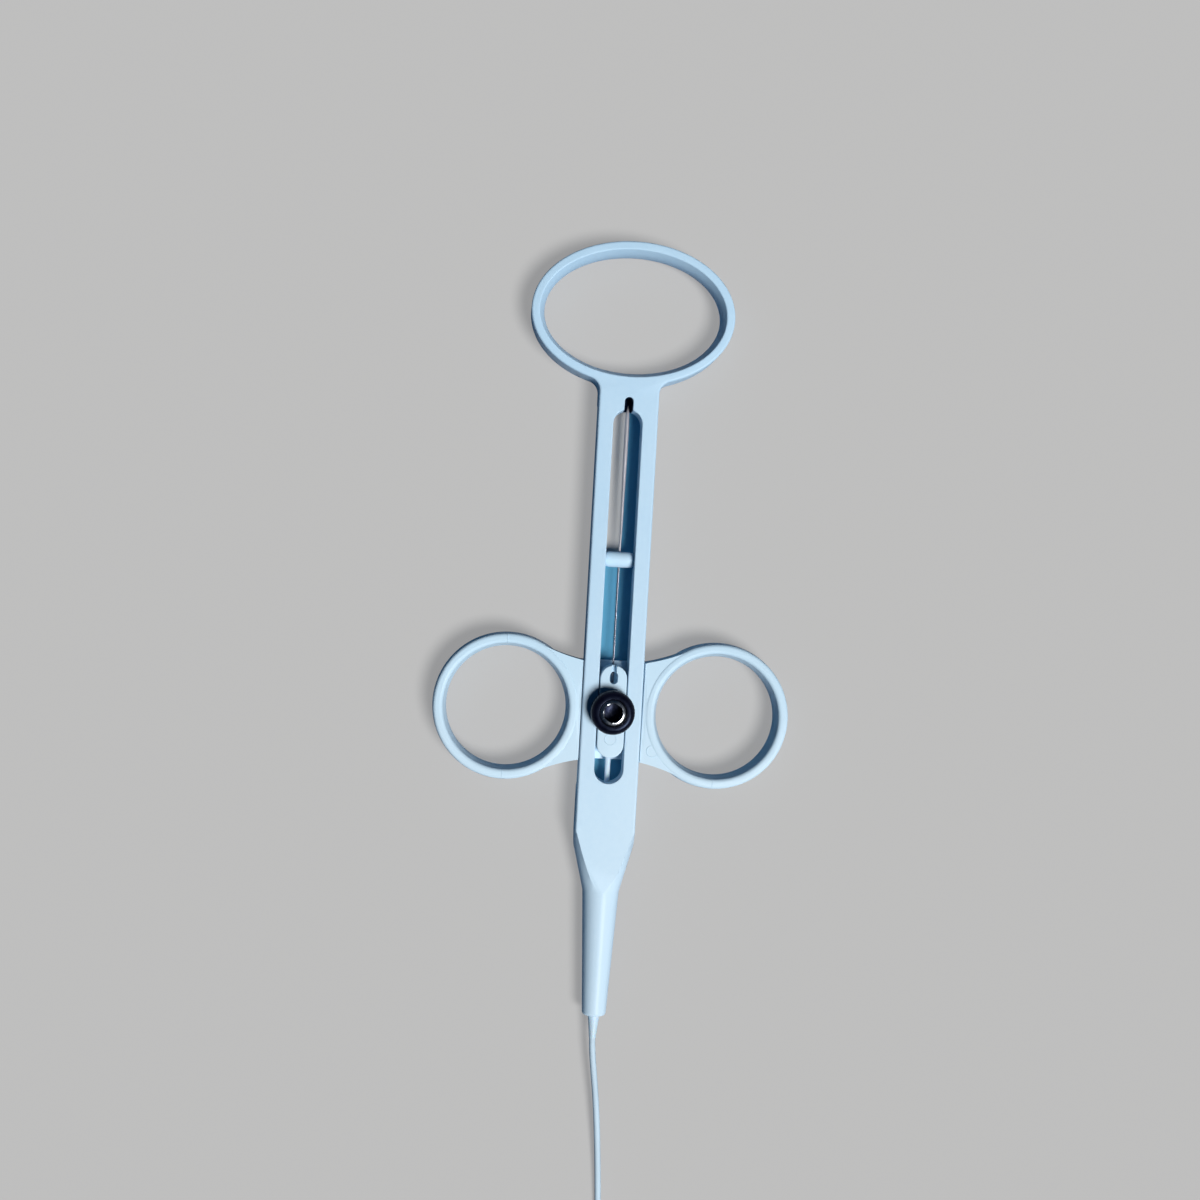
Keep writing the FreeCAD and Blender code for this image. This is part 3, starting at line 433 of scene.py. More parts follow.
@dataclass(frozen=True)
class WornCore:
    """The clamp screw's head: blackened steel, with its rim worn bright and its socket still dark. The wear
    follows the distance from the screw's axis."""

    name: str
    axis_at: Point = (0.0, -0.0154, 0.0)
    dark: Colour = (0.012, 0.015, 0.03)
    bright: Colour = (0.5, 0.53, 0.58)
    socket: float = 0.00166
    rim: float = 0.00178

    def material(self) -> bpy.types.Material:
        """Builds the node material.

        Returns:
            The material.
        """
        sketch = NodeSketch(bpy.data.materials.new(self.name))
        sketch.shade(Metallic=1.0)
        away = sketch.place()
        for operation, other in (("SUBTRACT", self.axis_at), ("MULTIPLY", (1.0, 1.0, 0.0))):
            step = sketch.add("VectorMath", operation=operation)
            step.inputs[1].default_value = other
            sketch.join(away, step.inputs[0])
            away = step.outputs["Vector"]
        reach = sketch.add("VectorMath", operation="LENGTH")
        sketch.join(away, reach.inputs[0])
        worn = sketch.between(reach.outputs["Value"], 0.0, 0.94, self.socket, self.rim)
        scuff = sketch.noise(sketch.place(), 900.0, 4.0)
        worn = sketch.math("ADD", worn, sketch.between(scuff, -0.04, 0.04))
        sketch.tint(worn, self.dark, self.bright, 0.0, 1.0)
        sketch.gloss(scuff, 0.18, 0.26)
        sketch.bump(sketch.noise(sketch.place(), 2600.0, 2.0), 1e-6, 0.4)
        return sketch.owner


@dataclass(frozen=True)
class SolderedStrand:
    """Strands drowned in solder: a dull grey with a pinkish cast, half metal, with soft ripples along it."""

    name: str
    colour: Colour
    smear_scale: float = 480.0
    ripple_scale: float = 1300.0
    ripple_depth: float = 2e-5

    def material(self) -> bpy.types.Material:
        """Builds the node material.

        Returns:
            The material.
        """
        sketch = NodeSketch(bpy.data.materials.new(self.name))
        sketch.shade(Metallic=0.35, Specular_IOR_Level=0.5)
        smear = sketch.noise(sketch.place((1.0, 0.3, 1.0)), self.smear_scale, 4.0)
        sketch.mottle(smear, self.colour, 0.85, 1.12)
        sketch.gloss(smear, 0.34, 0.5)
        ripple = sketch.noise(sketch.place((1.0, 0.5, 1.0)), self.ripple_scale, 3.0)
        sketch.bump(ripple, self.ripple_depth, 0.6)
        return sketch.owner


class Finish(enum.Enum):
    """The finishes of this instrument, each with the record's material slot."""

    # Each moulding's second colour is painted light: the tint turns lighter towards -Y.
    HANDLE = ("handle_plastic", MouldedPlastic(
        "pale_blue_frame", (0.475, 0.69, 0.885), (0.6, 0.785, 0.94),
        # painted shade: the walls of the wire's notch are coloured nearly black
        painted_shade_box=((-0.00085, 0.0408, 0.0025), (0.00085, 0.0444, 0.0068))))
    RINGS = ("handle_plastic", MouldedPlastic(
        "pale_blue_spool", (0.55, 0.755, 0.92), (0.605, 0.79, 0.935), (0.0, -0.03), 0.33))
    STEEL = ("steel", GroundMetal("turned_steel", (0.62, 0.63, 0.66), 0.26))
    CORE = ("steel", WornCore("worn_screw_core"))
    WIRE = ("wire", GroundMetal("drawn_wire", (0.3, 0.31, 0.36), 0.28, (1.0, 0.15, 1.0)))
    TAIL = ("wire", SolderedStrand("soldered_tail", (0.41, 0.395, 0.425)))
    BRASS = ("brass", GroundMetal("turned_brass", (0.72, 0.55, 0.27), 0.3))
    TUBE = ("sleeve", ClearTube("whitish_tube", (0.62, 0.76, 0.88)))
    RELIEF = ("sleeve", ClearTube("relief_tube", (0.56, 0.73, 0.86)))
    SHEATH = ("sheath", CoatedCoil("coated_sheath", (0.55, 0.71, 0.84)))
    KNOB = ("knob_black", PolishedBlack("polished_knob", (0.0025, 0.003, 0.009)))
    WASHER = ("washer", PolishedBlack("dark_washer", (0.008, 0.009, 0.016), 0.4))

    @property
    def slot(self) -> str:
        """The record's material slot."""
        return self.value[0]

    def dress(self, piece: Piece) -> None:
        """Gives a piece this finish alone.

        Args:
            piece: A mesh or curve object.
        """
        material = bpy.data.materials.get(self.value[1].name) or self.value[1].material()
        piece.data.materials.clear()
        piece.data.materials.append(material)


def grid_faces(rows: int, columns: int, close_u: bool = False, close_v: bool = False) -> np.ndarray:
    """Point numbers of a grid's cells: each cell between four neighbours is one face.

    Args:
        rows: The grid's rows.
        columns: The grid's columns.
        close_u: Whether the last row joins the first.
        close_v: Whether the last column joins the first.

    Returns:
        An array of shape (cells, 4).
    """
    index = np.arange(rows * columns).reshape(rows, columns)
    if close_u:
        index = np.vstack([index, index[:1]])
    if close_v:
        index = np.hstack([index, index[:, :1]])
    return np.stack([index[:-1, :-1], index[:-1, 1:], index[1:, 1:], index[1:, :-1]], axis=-1).reshape(-1, 4)


def grid_piece(name: str, points: np.ndarray, close_u: bool = False, close_v: bool = False,
               smooth: bool = True) -> Piece:
    """A surface through a grid of points.

    Args:
        name: The piece's name.
        points: An array of shape (rows, columns, 3), in metres.
        close_u: Whether the last row joins the first.
        close_v: Whether the last column joins the first.
        smooth: Whether the faces are shaded smoothly.

    Returns:
        The new object, with its normals facing outwards.
    """
    faces = grid_faces(points.shape[0], points.shape[1], close_u, close_v)
    return mesh_piece(name, points.reshape(-1, 3), faces, smooth)


def mesh_piece(name: str, points: np.ndarray, faces: np.ndarray, smooth: bool = True,
               turn_out: bool = True) -> Piece:
    """A mesh object from arrays, with coinciding points merged.

    Args:
        name: The piece's name.
        points: An array of shape (n, 3), in metres.
        faces: An array of shape (m, corners) of point numbers.
        smooth: Whether the faces are shaded smoothly.
        turn_out: Whether the normals are recalculated to face outwards.

    Returns:
        The new object.
    """
    keys = np.round(points / 1e-7).astype(np.int64)
    _, first, back = np.unique(keys, axis=0, return_index=True, return_inverse=True)
    back = back.reshape(-1)
    merged = back[faces]
    corners = merged.shape[1]
    repeats = (merged == np.roll(merged, 1, axis=1)).sum(axis=1)
    whole = merged[repeats == 0].tolist()
    folded = merged[(repeats > 0) & (repeats < corners - 2)]
    whole += [list(dict.fromkeys(face)) for face in folded.tolist()]
    mesh = bpy.data.meshes.new(name)
    mesh.from_pydata(points[first].tolist(), [], whole)
    mesh.validate()
    if turn_out:
        outward(mesh)
    mesh.polygons.foreach_set("use_smooth", np.full(len(mesh.polygons), smooth))
    piece = bpy.data.objects.new(name, mesh)
    bpy.context.scene.collection.objects.link(piece)
    return piece


def outward(mesh: bpy.types.Mesh) -> None:
    """Recalculates a closed mesh's normals so that they face outwards.

    Args:
        mesh: The mesh, with its doubles merged.
    """
    work = bmesh.new()
    work.from_mesh(mesh)
    bmesh.ops.recalc_face_normals(work, faces=work.faces)
    work.to_mesh(mesh)
    work.free()


def sharpen(piece: Piece, degrees: float = 32.0) -> Piece:
    """Keeps edges steeper than an angle crisp under smooth shading, and returns the same piece."""
    piece.data.set_sharp_from_angle(angle=math.radians(degrees))
    return piece


def turned_piece(name: str, profile: Sequence[tuple[float, float]], centre: Point, axis: int = 2,
                 segments: int = 96, closed: bool = False) -> Piece:
    """A turned solid: each profile point (radius, height) is carried round the axis, so a point of the
    surface is centre + radius * (cos a, sin a) across the axis + height along it.

    Args:
        name: The piece's name.
        profile: Points of radius and height in millimetres, from one pole to the other.
        centre: The axis's foot, in millimetres.
        axis: 0, 1 or 2 for X, Y or Z.
        segments: Steps round the axis.
        closed: Whether the profile is a closed loop, as for a tube.

    Returns:
        The new object.
    """
    line = np.asarray(profile, float)
    angle = np.linspace(0, 2 * math.pi, segments, endpoint=False)
    points = np.empty((segments, len(line), 3))
    first, second = [(1, 2), (2, 0), (0, 1)][axis]
    points[..., first] = np.outer(np.cos(angle), line[:, 0]) + centre[first]
    points[..., second] = np.outer(np.sin(angle), line[:, 0]) + centre[second]
    points[..., axis] = line[None, :, 1] + centre[axis]
    return grid_piece(name, points * MM, close_u=True, close_v=closed)


def arc(centre: tuple[float, float], radius: float, start: float, end: float,
        steps: int) -> list[tuple[float, float]]:
    """Points of an arc in a profile: centre + radius * (cos a, sin a).

    Args:
        centre: The arc's centre, as radius and height.
        radius: The arc's radius.
        start: The first point's angle, in degrees.
        end: The last point's angle, in degrees.
        steps: Steps between the points.

    Returns:
        The points, steps + 1 of them.
    """
    angle = np.radians(np.linspace(start, end, steps + 1))
    return [(centre[0] + radius * c, centre[1] + radius * s) for c, s in zip(np.cos(angle), np.sin(angle))]


def rod_points(path: np.ndarray, radius: np.ndarray, sides: int) -> np.ndarray:
    """Points of a round rod along a path: rings of the given radius stand square to the path's direction,
    and the ends close to points.

    Args:
        path: An array of shape (n, 3).
        radius: The rod's radius at each point.
        sides: Points round each ring.

    Returns:
        An array of shape (n + 2, sides, 3).
    """
    along = np.gradient(path, axis=0)
    along /= np.linalg.norm(along, axis=1, keepdims=True)
    hint = np.array([0.0, 0.0, 1.0]) if abs(along[:, 2]).max() < 0.9 else np.array([0.3, 1.0, 0.0])
    side = np.cross(along, hint)
    side /= np.linalg.norm(side, axis=1, keepdims=True)
    over = np.cross(side, along)
    angle = np.linspace(0, 2 * math.pi, sides, endpoint=False)
    rings = (path[:, None] + radius[:, None, None] * (np.cos(angle)[None, :, None] * side[:, None]
                                                      + np.sin(angle)[None, :, None] * over[:, None]))
    caps = [np.repeat(path[:1, None], sides, axis=1), np.repeat(path[-1:, None], sides, axis=1)]
    return np.concatenate([caps[0], rings, caps[1]], axis=0)


def swept_pieces(name: str, paths: Sequence[np.ndarray], radii: Sequence[np.ndarray],
                 sides: int = 10) -> Piece:
    """Round rods along one or more paths, in one mesh.

    Args:
        name: The piece's name.
        paths: Arrays of shape (n, 3), in millimetres.
        radii: Each rod's radius at each of its points.
        sides: Points round each ring.

    Returns:
        The new object.
    """
    rods = [rod_points(path, radius, sides) for path, radius in zip(paths, radii)]
    starts = np.cumsum([0] + [rod.shape[0] * sides for rod in rods])
    faces = [grid_faces(rod.shape[0], sides, close_v=True) + start for rod, start in zip(rods, starts)]
    points = np.concatenate([rod.reshape(-1, 3) for rod in rods])
    return sharpen(mesh_piece(name, points * MM, np.concatenate(faces)), 50)


def shell_copy(node: str, name: str, sharp: float = 30.0) -> Piece:
    """A merged copy of a CAD node, smooth across its curved faces and crisp at its edges.

    Args:
        node: The CAD node that the copy stands for.
        name: The new piece's name.
        sharp: Edges steeper than this many degrees stay crisp.

    Returns:
        The new object, which replaces the node.
    """
    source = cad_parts[node].data
    points = np.empty(len(source.vertices) * 3)
    source.vertices.foreach_get("co", points)
    source.calc_loop_triangles()
    faces = np.empty(len(source.loop_triangles) * 3, np.int32)
    source.loop_triangles.foreach_get("vertices", faces)
    piece = mesh_piece(name, points.reshape(-1, 3), faces.reshape(-1, 3), turn_out=False)
    flatten(piece.data)
    sharpen(piece, sharp)
    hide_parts(node)
    return piece


def flatten(mesh: bpy.types.Mesh, degrees: float = 0.2) -> None:
    """Makes one face of the triangles that lie in one plane, so that an edge's rounding has room.

    Args:
        mesh: The mesh.
        degrees: How far from flat two neighbours may be.
    """
    work = bmesh.new()
    work.from_mesh(mesh)
    bmesh.ops.dissolve_limit(work, angle_limit=math.radians(degrees), verts=work.verts, edges=work.edges)
    work.to_mesh(mesh)
    work.free()
    mesh.polygons.foreach_set("use_smooth", np.full(len(mesh.polygons), True))


def bore(piece: Piece, centre: Point, radius: float, half: float) -> None:
    """Cuts a round hole along Y through a piece.

    Args:
        piece: The piece that gets the hole.
        centre: The hole's middle, in millimetres.
        radius: The hole's radius, in millimetres.
        half: Half of the cutter's length, in millimetres.
    """
    cutter = turned_piece("cutter", [(0.0, -half), (radius, -half), (radius, half), (0.0, half)], centre,
                          axis=1, segments=48)
    cut = piece.modifiers.new("bore", "BOOLEAN")
    cut.object, cut.operation, cut.solver = cutter, "DIFFERENCE", "EXACT"
    whole = piece.evaluated_get(bpy.context.evaluated_depsgraph_get())
    piece.data = bpy.data.meshes.new_from_object(whole)
    piece.modifiers.clear()
    bpy.data.objects.remove(cutter)


def round_edges(piece: Piece, width: float, *boxes: Box) -> None:
    """Rounds the crisp edges whose two ends both lie inside one of some boxes.

    Args:
        piece: A piece with its crisp edges marked.
        width: The rounding's width, in millimetres.
        *boxes: Each box's lowest and highest corner, in millimetres.
    """
    mesh = piece.data
    points = np.empty(len(mesh.vertices) * 3)
    mesh.vertices.foreach_get("co", points)
    points = points.reshape(-1, 3) / MM
    ends = np.empty(len(mesh.edges) * 2, np.int32)
    mesh.edges.foreach_get("vertices", ends)
    crisp = np.empty(len(mesh.edges), bool)
    mesh.attributes["sharp_edge"].data.foreach_get("value", crisp)
    chosen = np.zeros(len(mesh.edges), bool)
    for low, high in boxes:
        inside = ((points >= low) & (points <= high)).all(axis=1)
        chosen |= inside[ends].reshape(-1, 2).all(axis=1)
    weight = mesh.attributes.new("bevel_weight_edge", "FLOAT", "EDGE")
    weight.data.foreach_set("value", (chosen & crisp).astype(np.float32))
    edge = piece.modifiers.new("edge", "BEVEL")
    edge.width = width * MM
    edge.segments = 3
    edge.limit_method = "WEIGHT"
    edge.harden_normals = True
    edge.use_clamp_overlap = False
    LOG.info("%s: %d rounded edges", piece.name, int((chosen & crisp).sum()))


def finished(piece: Piece, finish: Finish, body: str) -> Piece:
    """Dresses a piece, puts it on its body and logs its slot.

    Args:
        piece: A new piece.
        finish: Its finish.
        body: The body that carries it.

    Returns:
        The same piece.
    """
    finish.dress(piece)
    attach(piece, body)
    faces = len(piece.data.polygons) if piece.type == "MESH" else 0
    LOG.info("%s: %s faces, %s, on %s", piece.name, faces, finish.slot, body)
    return piece


def dress_nodes(finish: Finish, *nodes: str) -> None:
    """Gives carried-over CAD nodes their finish.

    Args:
        finish: The finish.
        *nodes: The nodes' names.
    """
    for node in nodes:
        finish.dress(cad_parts[node])
        LOG.info("%s: CAD node, %s", node, finish.slot)


@dataclass
class Studio:
    """Camera, lamps and table, as the photograph was taken: from above, a little to the left."""

    aim: Point = (-3.43, 5.6, 7.0)
    camera_at: Point = (-22.7, 7.0, 307.0)
    view_width: float = 227.2
    lean: float = 3.2
    table_grey: float = 0.52
    table_glow: float = 0.6
    ground_colour: Colour = (0.127, 0.4, 0.61)
    bounce_colour: Colour = (0.02, 0.13, 0.24)
    slot_middle: float = 6.4
    slot_reach: tuple[float, float] = (5.2, 38.0)
    cleared_from: float = 13.5
    cleared_left_of: float = 0.15
    key_from: Point = (0.4, -0.34, 1.0)
    key_colour: Colour = (1.0, 0.984, 0.956)
    key_level: float = 0.994
    key_spread: float = 23.0
    fill_colour: Colour = (0.003, 0.015, 0.034)
    table_reach: float = 3000.0
    table_drop: float = 0.02
    horizon: tuple[float, float] = (0.5, 0.2)

    def build(self) -> None:
        """Sets up everything that isn't part of the object."""
        self.place_camera()
        self.place_table()
        self.place_lamp()
        self.place_surround()
        bpy.context.scene.view_settings.view_transform = "Standard"

    def place_camera(self) -> None:
        """The camera above the handle, turned so that the handle leans as in the photograph."""
        aim, at = Vector(self.aim), Vector(self.camera_at)
        back = (at - aim).normalized()
        lean = math.radians(self.lean)
        right = Vector((-math.sin(lean), math.cos(lean), 0)).cross(back).normalized()
        turn = Matrix((right, back.cross(right), back)).transposed()
        lens = bpy.data.cameras.new("camera")
        lens.sensor_fit = "HORIZONTAL"
        lens.angle = 2 * math.atan(self.view_width / 2 / (at - aim).length)
        lens.clip_start = 0.01
        camera = bpy.data.objects.new("camera", lens)
        camera.matrix_world = Matrix.Translation(at * MM) @ turn.to_4x4()
        bpy.context.scene.collection.objects.link(camera)
        bpy.context.scene.camera = camera

    def place_table(self) -> None:
        """A wide matt table just under the object. Seen, it is the pale grey of the photograph's cleared
        ground, and partly glows for the camera, so that its shadows stay light. Under the handle's slot
        it is the light blue ground that the object lay on, cleared to grey at the upper left. It throws
        back that ground's dim blue."""
        far, low = self.table_reach * MM, -self.table_drop * MM
        corners = np.array([[[-far, -far, low], [far, -far, low]], [[-far, far, low], [far, far, low]]])
        table = grid_piece("table", corners, smooth=False)
        sketch = NodeSketch(bpy.data.materials.new("matt_table"))
        sketch.shade(Roughness=0.9, Specular_IOR_Level=0.1)
        sketch.mottle(sketch.noise(sketch.place(), 9.0, 3.0), self.bounce_colour, 0.99, 1.01)
        camera, seen = sketch.rays()
        across = sketch.math("ABSOLUTE", sketch.coordinate("X"))
        along = sketch.math("ABSOLUTE", sketch.math("ADD", sketch.coordinate("Y"), -self.slot_middle * MM))
        outside = sketch.math("ADD", sketch.math("GREATER_THAN", across, self.slot_reach[0] * MM),
                              sketch.math("GREATER_THAN", along, self.slot_reach[1] * MM), True)
        grey = (*(self.table_grey,) * 3, 1)
        matt = sketch.add("BsdfDiffuse", Color=grey).outputs["BSDF"]
        glow = sketch.add("Emission", Color=grey).outputs["Emission"]
        blue = sketch.add("BsdfDiffuse", Color=(*self.ground_colour, 1)).outputs["BSDF"]
        above = sketch.math("GREATER_THAN", sketch.coordinate("Y"), self.cleared_from * MM)
        left = sketch.math("LESS_THAN", sketch.coordinate("X"), self.cleared_left_of * MM)
        ground = sketch.blend(sketch.math("MULTIPLY", above, left), blue, matt)
        pale = sketch.blend(sketch.math("MULTIPLY", camera, self.table_glow), matt, glow)
        shown = sketch.blend(outside, ground, pale)
        sketch.join(sketch.blend(seen, sketch.shader.outputs["BSDF"], shown), sketch.surface)
        table.data.materials.append(sketch.owner)

    def place_lamp(self) -> None:
        """A soft key from the lower right. Its strength gives the table its level: pi * level / cosine of
        the lamp's slant."""
        towards = Vector(self.key_from).normalized()
        light = bpy.data.lights.new("key", "SUN")
        light.energy = math.pi * self.key_level / towards.z
        light.color = self.key_colour
        light.angle = math.radians(self.key_spread)
        lamp = bpy.data.objects.new("key", light)
        lamp.location = towards
        lamp.rotation_euler = (-towards).to_track_quat("-Z", "Y").to_euler()
        bpy.context.scene.collection.objects.link(lamp)

    def place_surround(self) -> None:
        """A dim bluish surround that fills the shadows. Near the horizon it is seen as pale as the table."""
        sketch = NodeSketch(bpy.data.worlds.new("surround"))
        fill = sketch.nodes["Background"]
        fill.inputs["Color"].default_value = (*self.fill_colour, 1)
        dim = fill.outputs["Background"]
        pale = sketch.add("Background", Color=(*(self.table_grey,) * 3, 1)).outputs["Background"]
        split = sketch.add("SeparateXYZ")
        sketch.join(sketch.add("TexCoord").outputs["Generated"], split.inputs["Vector"])
        low = sketch.between(split.outputs["Z"], 0.0, 1.0, *self.horizon)
        share = sketch.math("MULTIPLY", sketch.rays()[1], low)
        sketch.join(sketch.blend(share, dim, pale), sketch.surface)
        bpy.context.scene.world = sketch.owner


@dataclass
class Sheath:
    """The free sheath: out of the nose, down to the table, round the put-away coil and on to the tip. Only
    its length is in metres."""

    diameter: float = 1.2
    lead: tuple[Point, ...] = (
        (0.0, -78.35, 3.5), (0.0, -80.5, 3.5), (1.5, -91.0, 2.75), (2.55, -103.0, 1.3), (3.25, -115.0, 0.6))
    tail: tuple[Point, ...] = ((-14.8, -136.7, 1.7), (-20.6, -137.3, 0.8), (-25.3, -137.3, 0.8))
    centre: tuple[float, float] = (-9.1, -124.5)
    outer: float = 12.1
    pitch: float = 1.22
    inward_turns: float = 4.125
    points_a_turn: int = 16
    floor: float = 0.6
    upper: float = 1.8
    climb_turns: float = 0.5
    length: float = 0.565

    def coil_points(self) -> np.ndarray:
        """Turns of the coil, clockwise: centre + r (cos a, -sin a), with r falling by the pitch each turn on
        the table and growing again on the layer above.

        Returns:
            An array of shape (n, 3), in millimetres.
        """
        turn = np.arange(int(round(2 * self.inward_turns * self.points_a_turn)) + 1) / self.points_a_turn
        swell = 1 / math.cos(math.pi / self.points_a_turn)
        radius = (self.outer - self.pitch * np.minimum(turn, 2 * self.inward_turns - turn)) * swell
        climb = np.clip((turn - self.inward_turns + self.climb_turns / 2) / self.climb_turns, 0, 1)
        height = self.floor + (self.upper - self.floor) * climb * climb * (3 - 2 * climb)
        angle = 2 * math.pi * turn
        return np.stack([self.centre[0] + radius * np.cos(angle), self.centre[1] - radius * np.sin(angle),
                         height], axis=1)

    def build(self) -> Piece:
        """Makes the sheath as one NURBS curve.

        Returns:
            The sheath, dressed.
        """
        route = np.concatenate([self.lead, self.coil_points(), self.tail])
        curve = bpy.data.curves.new("sheath", "CURVE")
        curve.dimensions = "3D"
        curve.resolution_u = 6
        curve.bevel_depth = self.diameter / 2 * MM
        curve.bevel_resolution = 5
        curve.use_fill_caps = True
        spline = curve.splines.new("NURBS")
        spline.points.add(len(route) - 1)
        flat = np.hstack([route * MM, np.ones((len(route), 1))]).astype(np.float32)
        spline.points.foreach_set("co", flat.reshape(-1))
        spline.order_u = 3
        spline.use_endpoint_u = True
        sheath = bpy.data.objects.new("sheath", curve)
        bpy.context.scene.collection.objects.link(sheath)
        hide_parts("sheath_lead", "sheath_coil", "sheath_tail")
        finished(sheath, Finish.SHEATH, "root")
        return sheath


@dataclass
class HandleFrame:
    """The moulded frame with thumb ring, rails and nose, and what is fixed in it."""

    bar_y: float = 13.5
    bar_height: float = 4.0
    bar_radius: float = 1.5
    bar_half: float = 3.6
    bar_fall: float = 0.16
    bar_bore: float = 0.4
    slot_half: float = 2.75
    relief_end: float = -78.35
    nose_end: float = -73.85
    relief_bore: float = 0.61
    relief_tip: float = 0.68
    relief_root: float = 1.15
    relief_lip: Point = (0.06, 0.02, 0.005)
    axis_height: float = 3.5
    edge: float = 0.2
    face_edges: Box = ((-20.0, -36.0, 6.9), (20.0, 75.0, 7.1))

    def build(self) -> None:
        """Makes and dresses the frame's pieces."""
        moulding = shell_copy("handle_frame", "frame_moulding")
        round_edges(moulding, self.edge, self.face_edges)
        finished(moulding, Finish.HANDLE, "root")
        self.guide_bar()
        self.strain_relief()
        dress_nodes(Finish.STEEL, "nose_guide_tube", "sheath_gland")

    def guide_bar(self) -> None:
        """The bar across the slot, with the wire's hole through it: radius = full * (1 - fall * (x / slot
        half)^6), and the least radius from the slot's sides on, so its ends round off to the rails."""
        along = np.linspace(-self.bar_half, self.bar_half, 49)
        reach = np.clip(np.abs(along) / self.slot_half, 0, 1)
        radius = self.bar_radius * (1 - self.bar_fall * reach ** 6)
        profile = [(0.0, -self.bar_half), *zip(radius, along), (0.0, self.bar_half)]
        bar = turned_piece("guide_bar", profile, (0, self.bar_y, self.bar_height), axis=0, segments=64)
        bore(bar, (0.0, self.bar_y, self.axis_height), self.bar_bore, 2 * self.bar_radius)
        sharpen(bar, 50)
        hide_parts("wire_guide_bar")
        finished(bar, Finish.RINGS, "root")

    def strain_relief(self) -> None:
        """A smooth tapered sleeve: radius = tip + (root - tip) * share^1.3 of the way to the nose, with a
        small round lip at the tip."""
        length = self.nose_end - self.relief_end
        share = np.linspace(0, 1, 41)
        radius = self.relief_tip + (self.relief_root - self.relief_tip) * share ** 1.3
        radius[:3] -= np.array(self.relief_lip)
        profile = [(self.relief_bore, 0.0), *zip(radius, share * length), (self.relief_bore, length)]
        relief = turned_piece("relief_sleeve", profile, (0, self.relief_end, self.axis_height), axis=1,
                              segments=64, closed=True)
        sharpen(relief, 50)
        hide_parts("strain_relief")
        finished(relief, Finish.RELIEF, "root")


@dataclass
class FingerSpool:
    """The sliding spool with finger rings, the key plate in the slot and what joins them."""

    pad_top: float = 7.3
    mark_radius: float = 1.15
    mark_rim: float = 0.06
    mark_lift: float = 0.09
    mark_root: float = -0.1
    mark_y: float = -20.65
    wing_marks: tuple[Point, ...] = ((8.1, -22.6, 6.65),)
    ring_centre: tuple[float, float] = (20.05, -15.4)
    ring_band: tuple[float, float] = (11.9, 13.8)
    ring_round: float = 0.7
    ring_top: float = 6.8
    knit_lines: tuple[tuple[int, float], ...] = ((-1, 91.6), (-1, 269.5), (1, 269.6))
    knit_radius: float = 0.07
    edge: float = 0.18
    boss_edges: tuple[Box, ...] = (((-6.3, -30.0, 6.0), (-5.7, -1.0, 7.0)),
                                   ((5.7, -30.0, 6.0), (6.3, -1.0, 7.0)))
    pad_edge: float = 0.126
    pad_edges: Box = ((-3.0, -30.0, 7.2), (3.0, 0.0, 7.4))

    def build(self) -> None:
        """Makes and dresses the spool's pieces."""
        moulding = shell_copy("finger_spool", "spool_moulding")
        round_edges(moulding, self.edge, *self.boss_edges)
        finished(moulding, Finish.RINGS, "spool")
        pad = shell_copy("key_plate", "pad_moulding")
        round_edges(pad, self.pad_edge, self.pad_edges)
        finished(pad, Finish.RINGS, "spool")
        self.ejector_mark("pad_ejector_mark", (0, self.mark_y, self.pad_top))
        for number, spot in enumerate(self.wing_marks, start=1):
            self.ejector_mark(f"wing_ejector_mark_{number}", spot)
        for number, (side, degrees) in enumerate(self.knit_lines, start=1):
            self.knit_line(f"knit_line_{number}", side, degrees)
        dress_nodes(Finish.STEEL, "key_screws")

    def knit_line(self, name: str, side: int, degrees: float) -> None:
        """A fine line across a ring's band, where the melt met in the mould: a bead along the band's
        section, r = middle + half the flat + round * cos t and z = top - round + round * sin t.

        Args:
            name: The piece's name.
            side: -1 for the left ring and 1 for the right one.
            degrees: Where round the ring it lies, from +X.
        """
        inner, outer = self.ring_band
        turn = np.linspace(math.pi, 0, 36)
        flat = (outer - inner) / 2 - self.ring_round
        reach = (inner + outer) / 2 + flat * np.sign(np.cos(turn)) + self.ring_round * np.cos(turn)
        height = self.ring_top - self.ring_round + self.ring_round * np.sin(turn)
        around = math.radians(degrees)
        path = np.stack([side * self.ring_centre[0] + reach * math.cos(around),
                         self.ring_centre[1] + reach * math.sin(around), height], axis=1)
        radius = self.knit_radius * np.sin(np.linspace(0.15, math.pi - 0.15, len(turn))) ** 0.3
        finished(swept_pieces(name, [path], [radius], 8), Finish.RINGS, "spool")

    def ejector_mark(self, name: str, spot: Point) -> None:
        """A faint round witness mark: a low crisp ring round a disc a hair above the surface.

        Args:
            name: The piece's name.
            spot: Its centre on the surface, in millimetres.
        """
        edge, rim, lift, disc = self.mark_radius, self.mark_rim, self.mark_lift, self.mark_lift * 0.2
        profile = [(0.0, disc), (edge - 2 * rim, disc), (edge - rim, lift), (edge, 0.0),
                   (edge, self.mark_root), (0.0, self.mark_root)]
        finished(sharpen(turned_piece(name, profile, spot, segments=64), 12), Finish.RINGS, "spool")


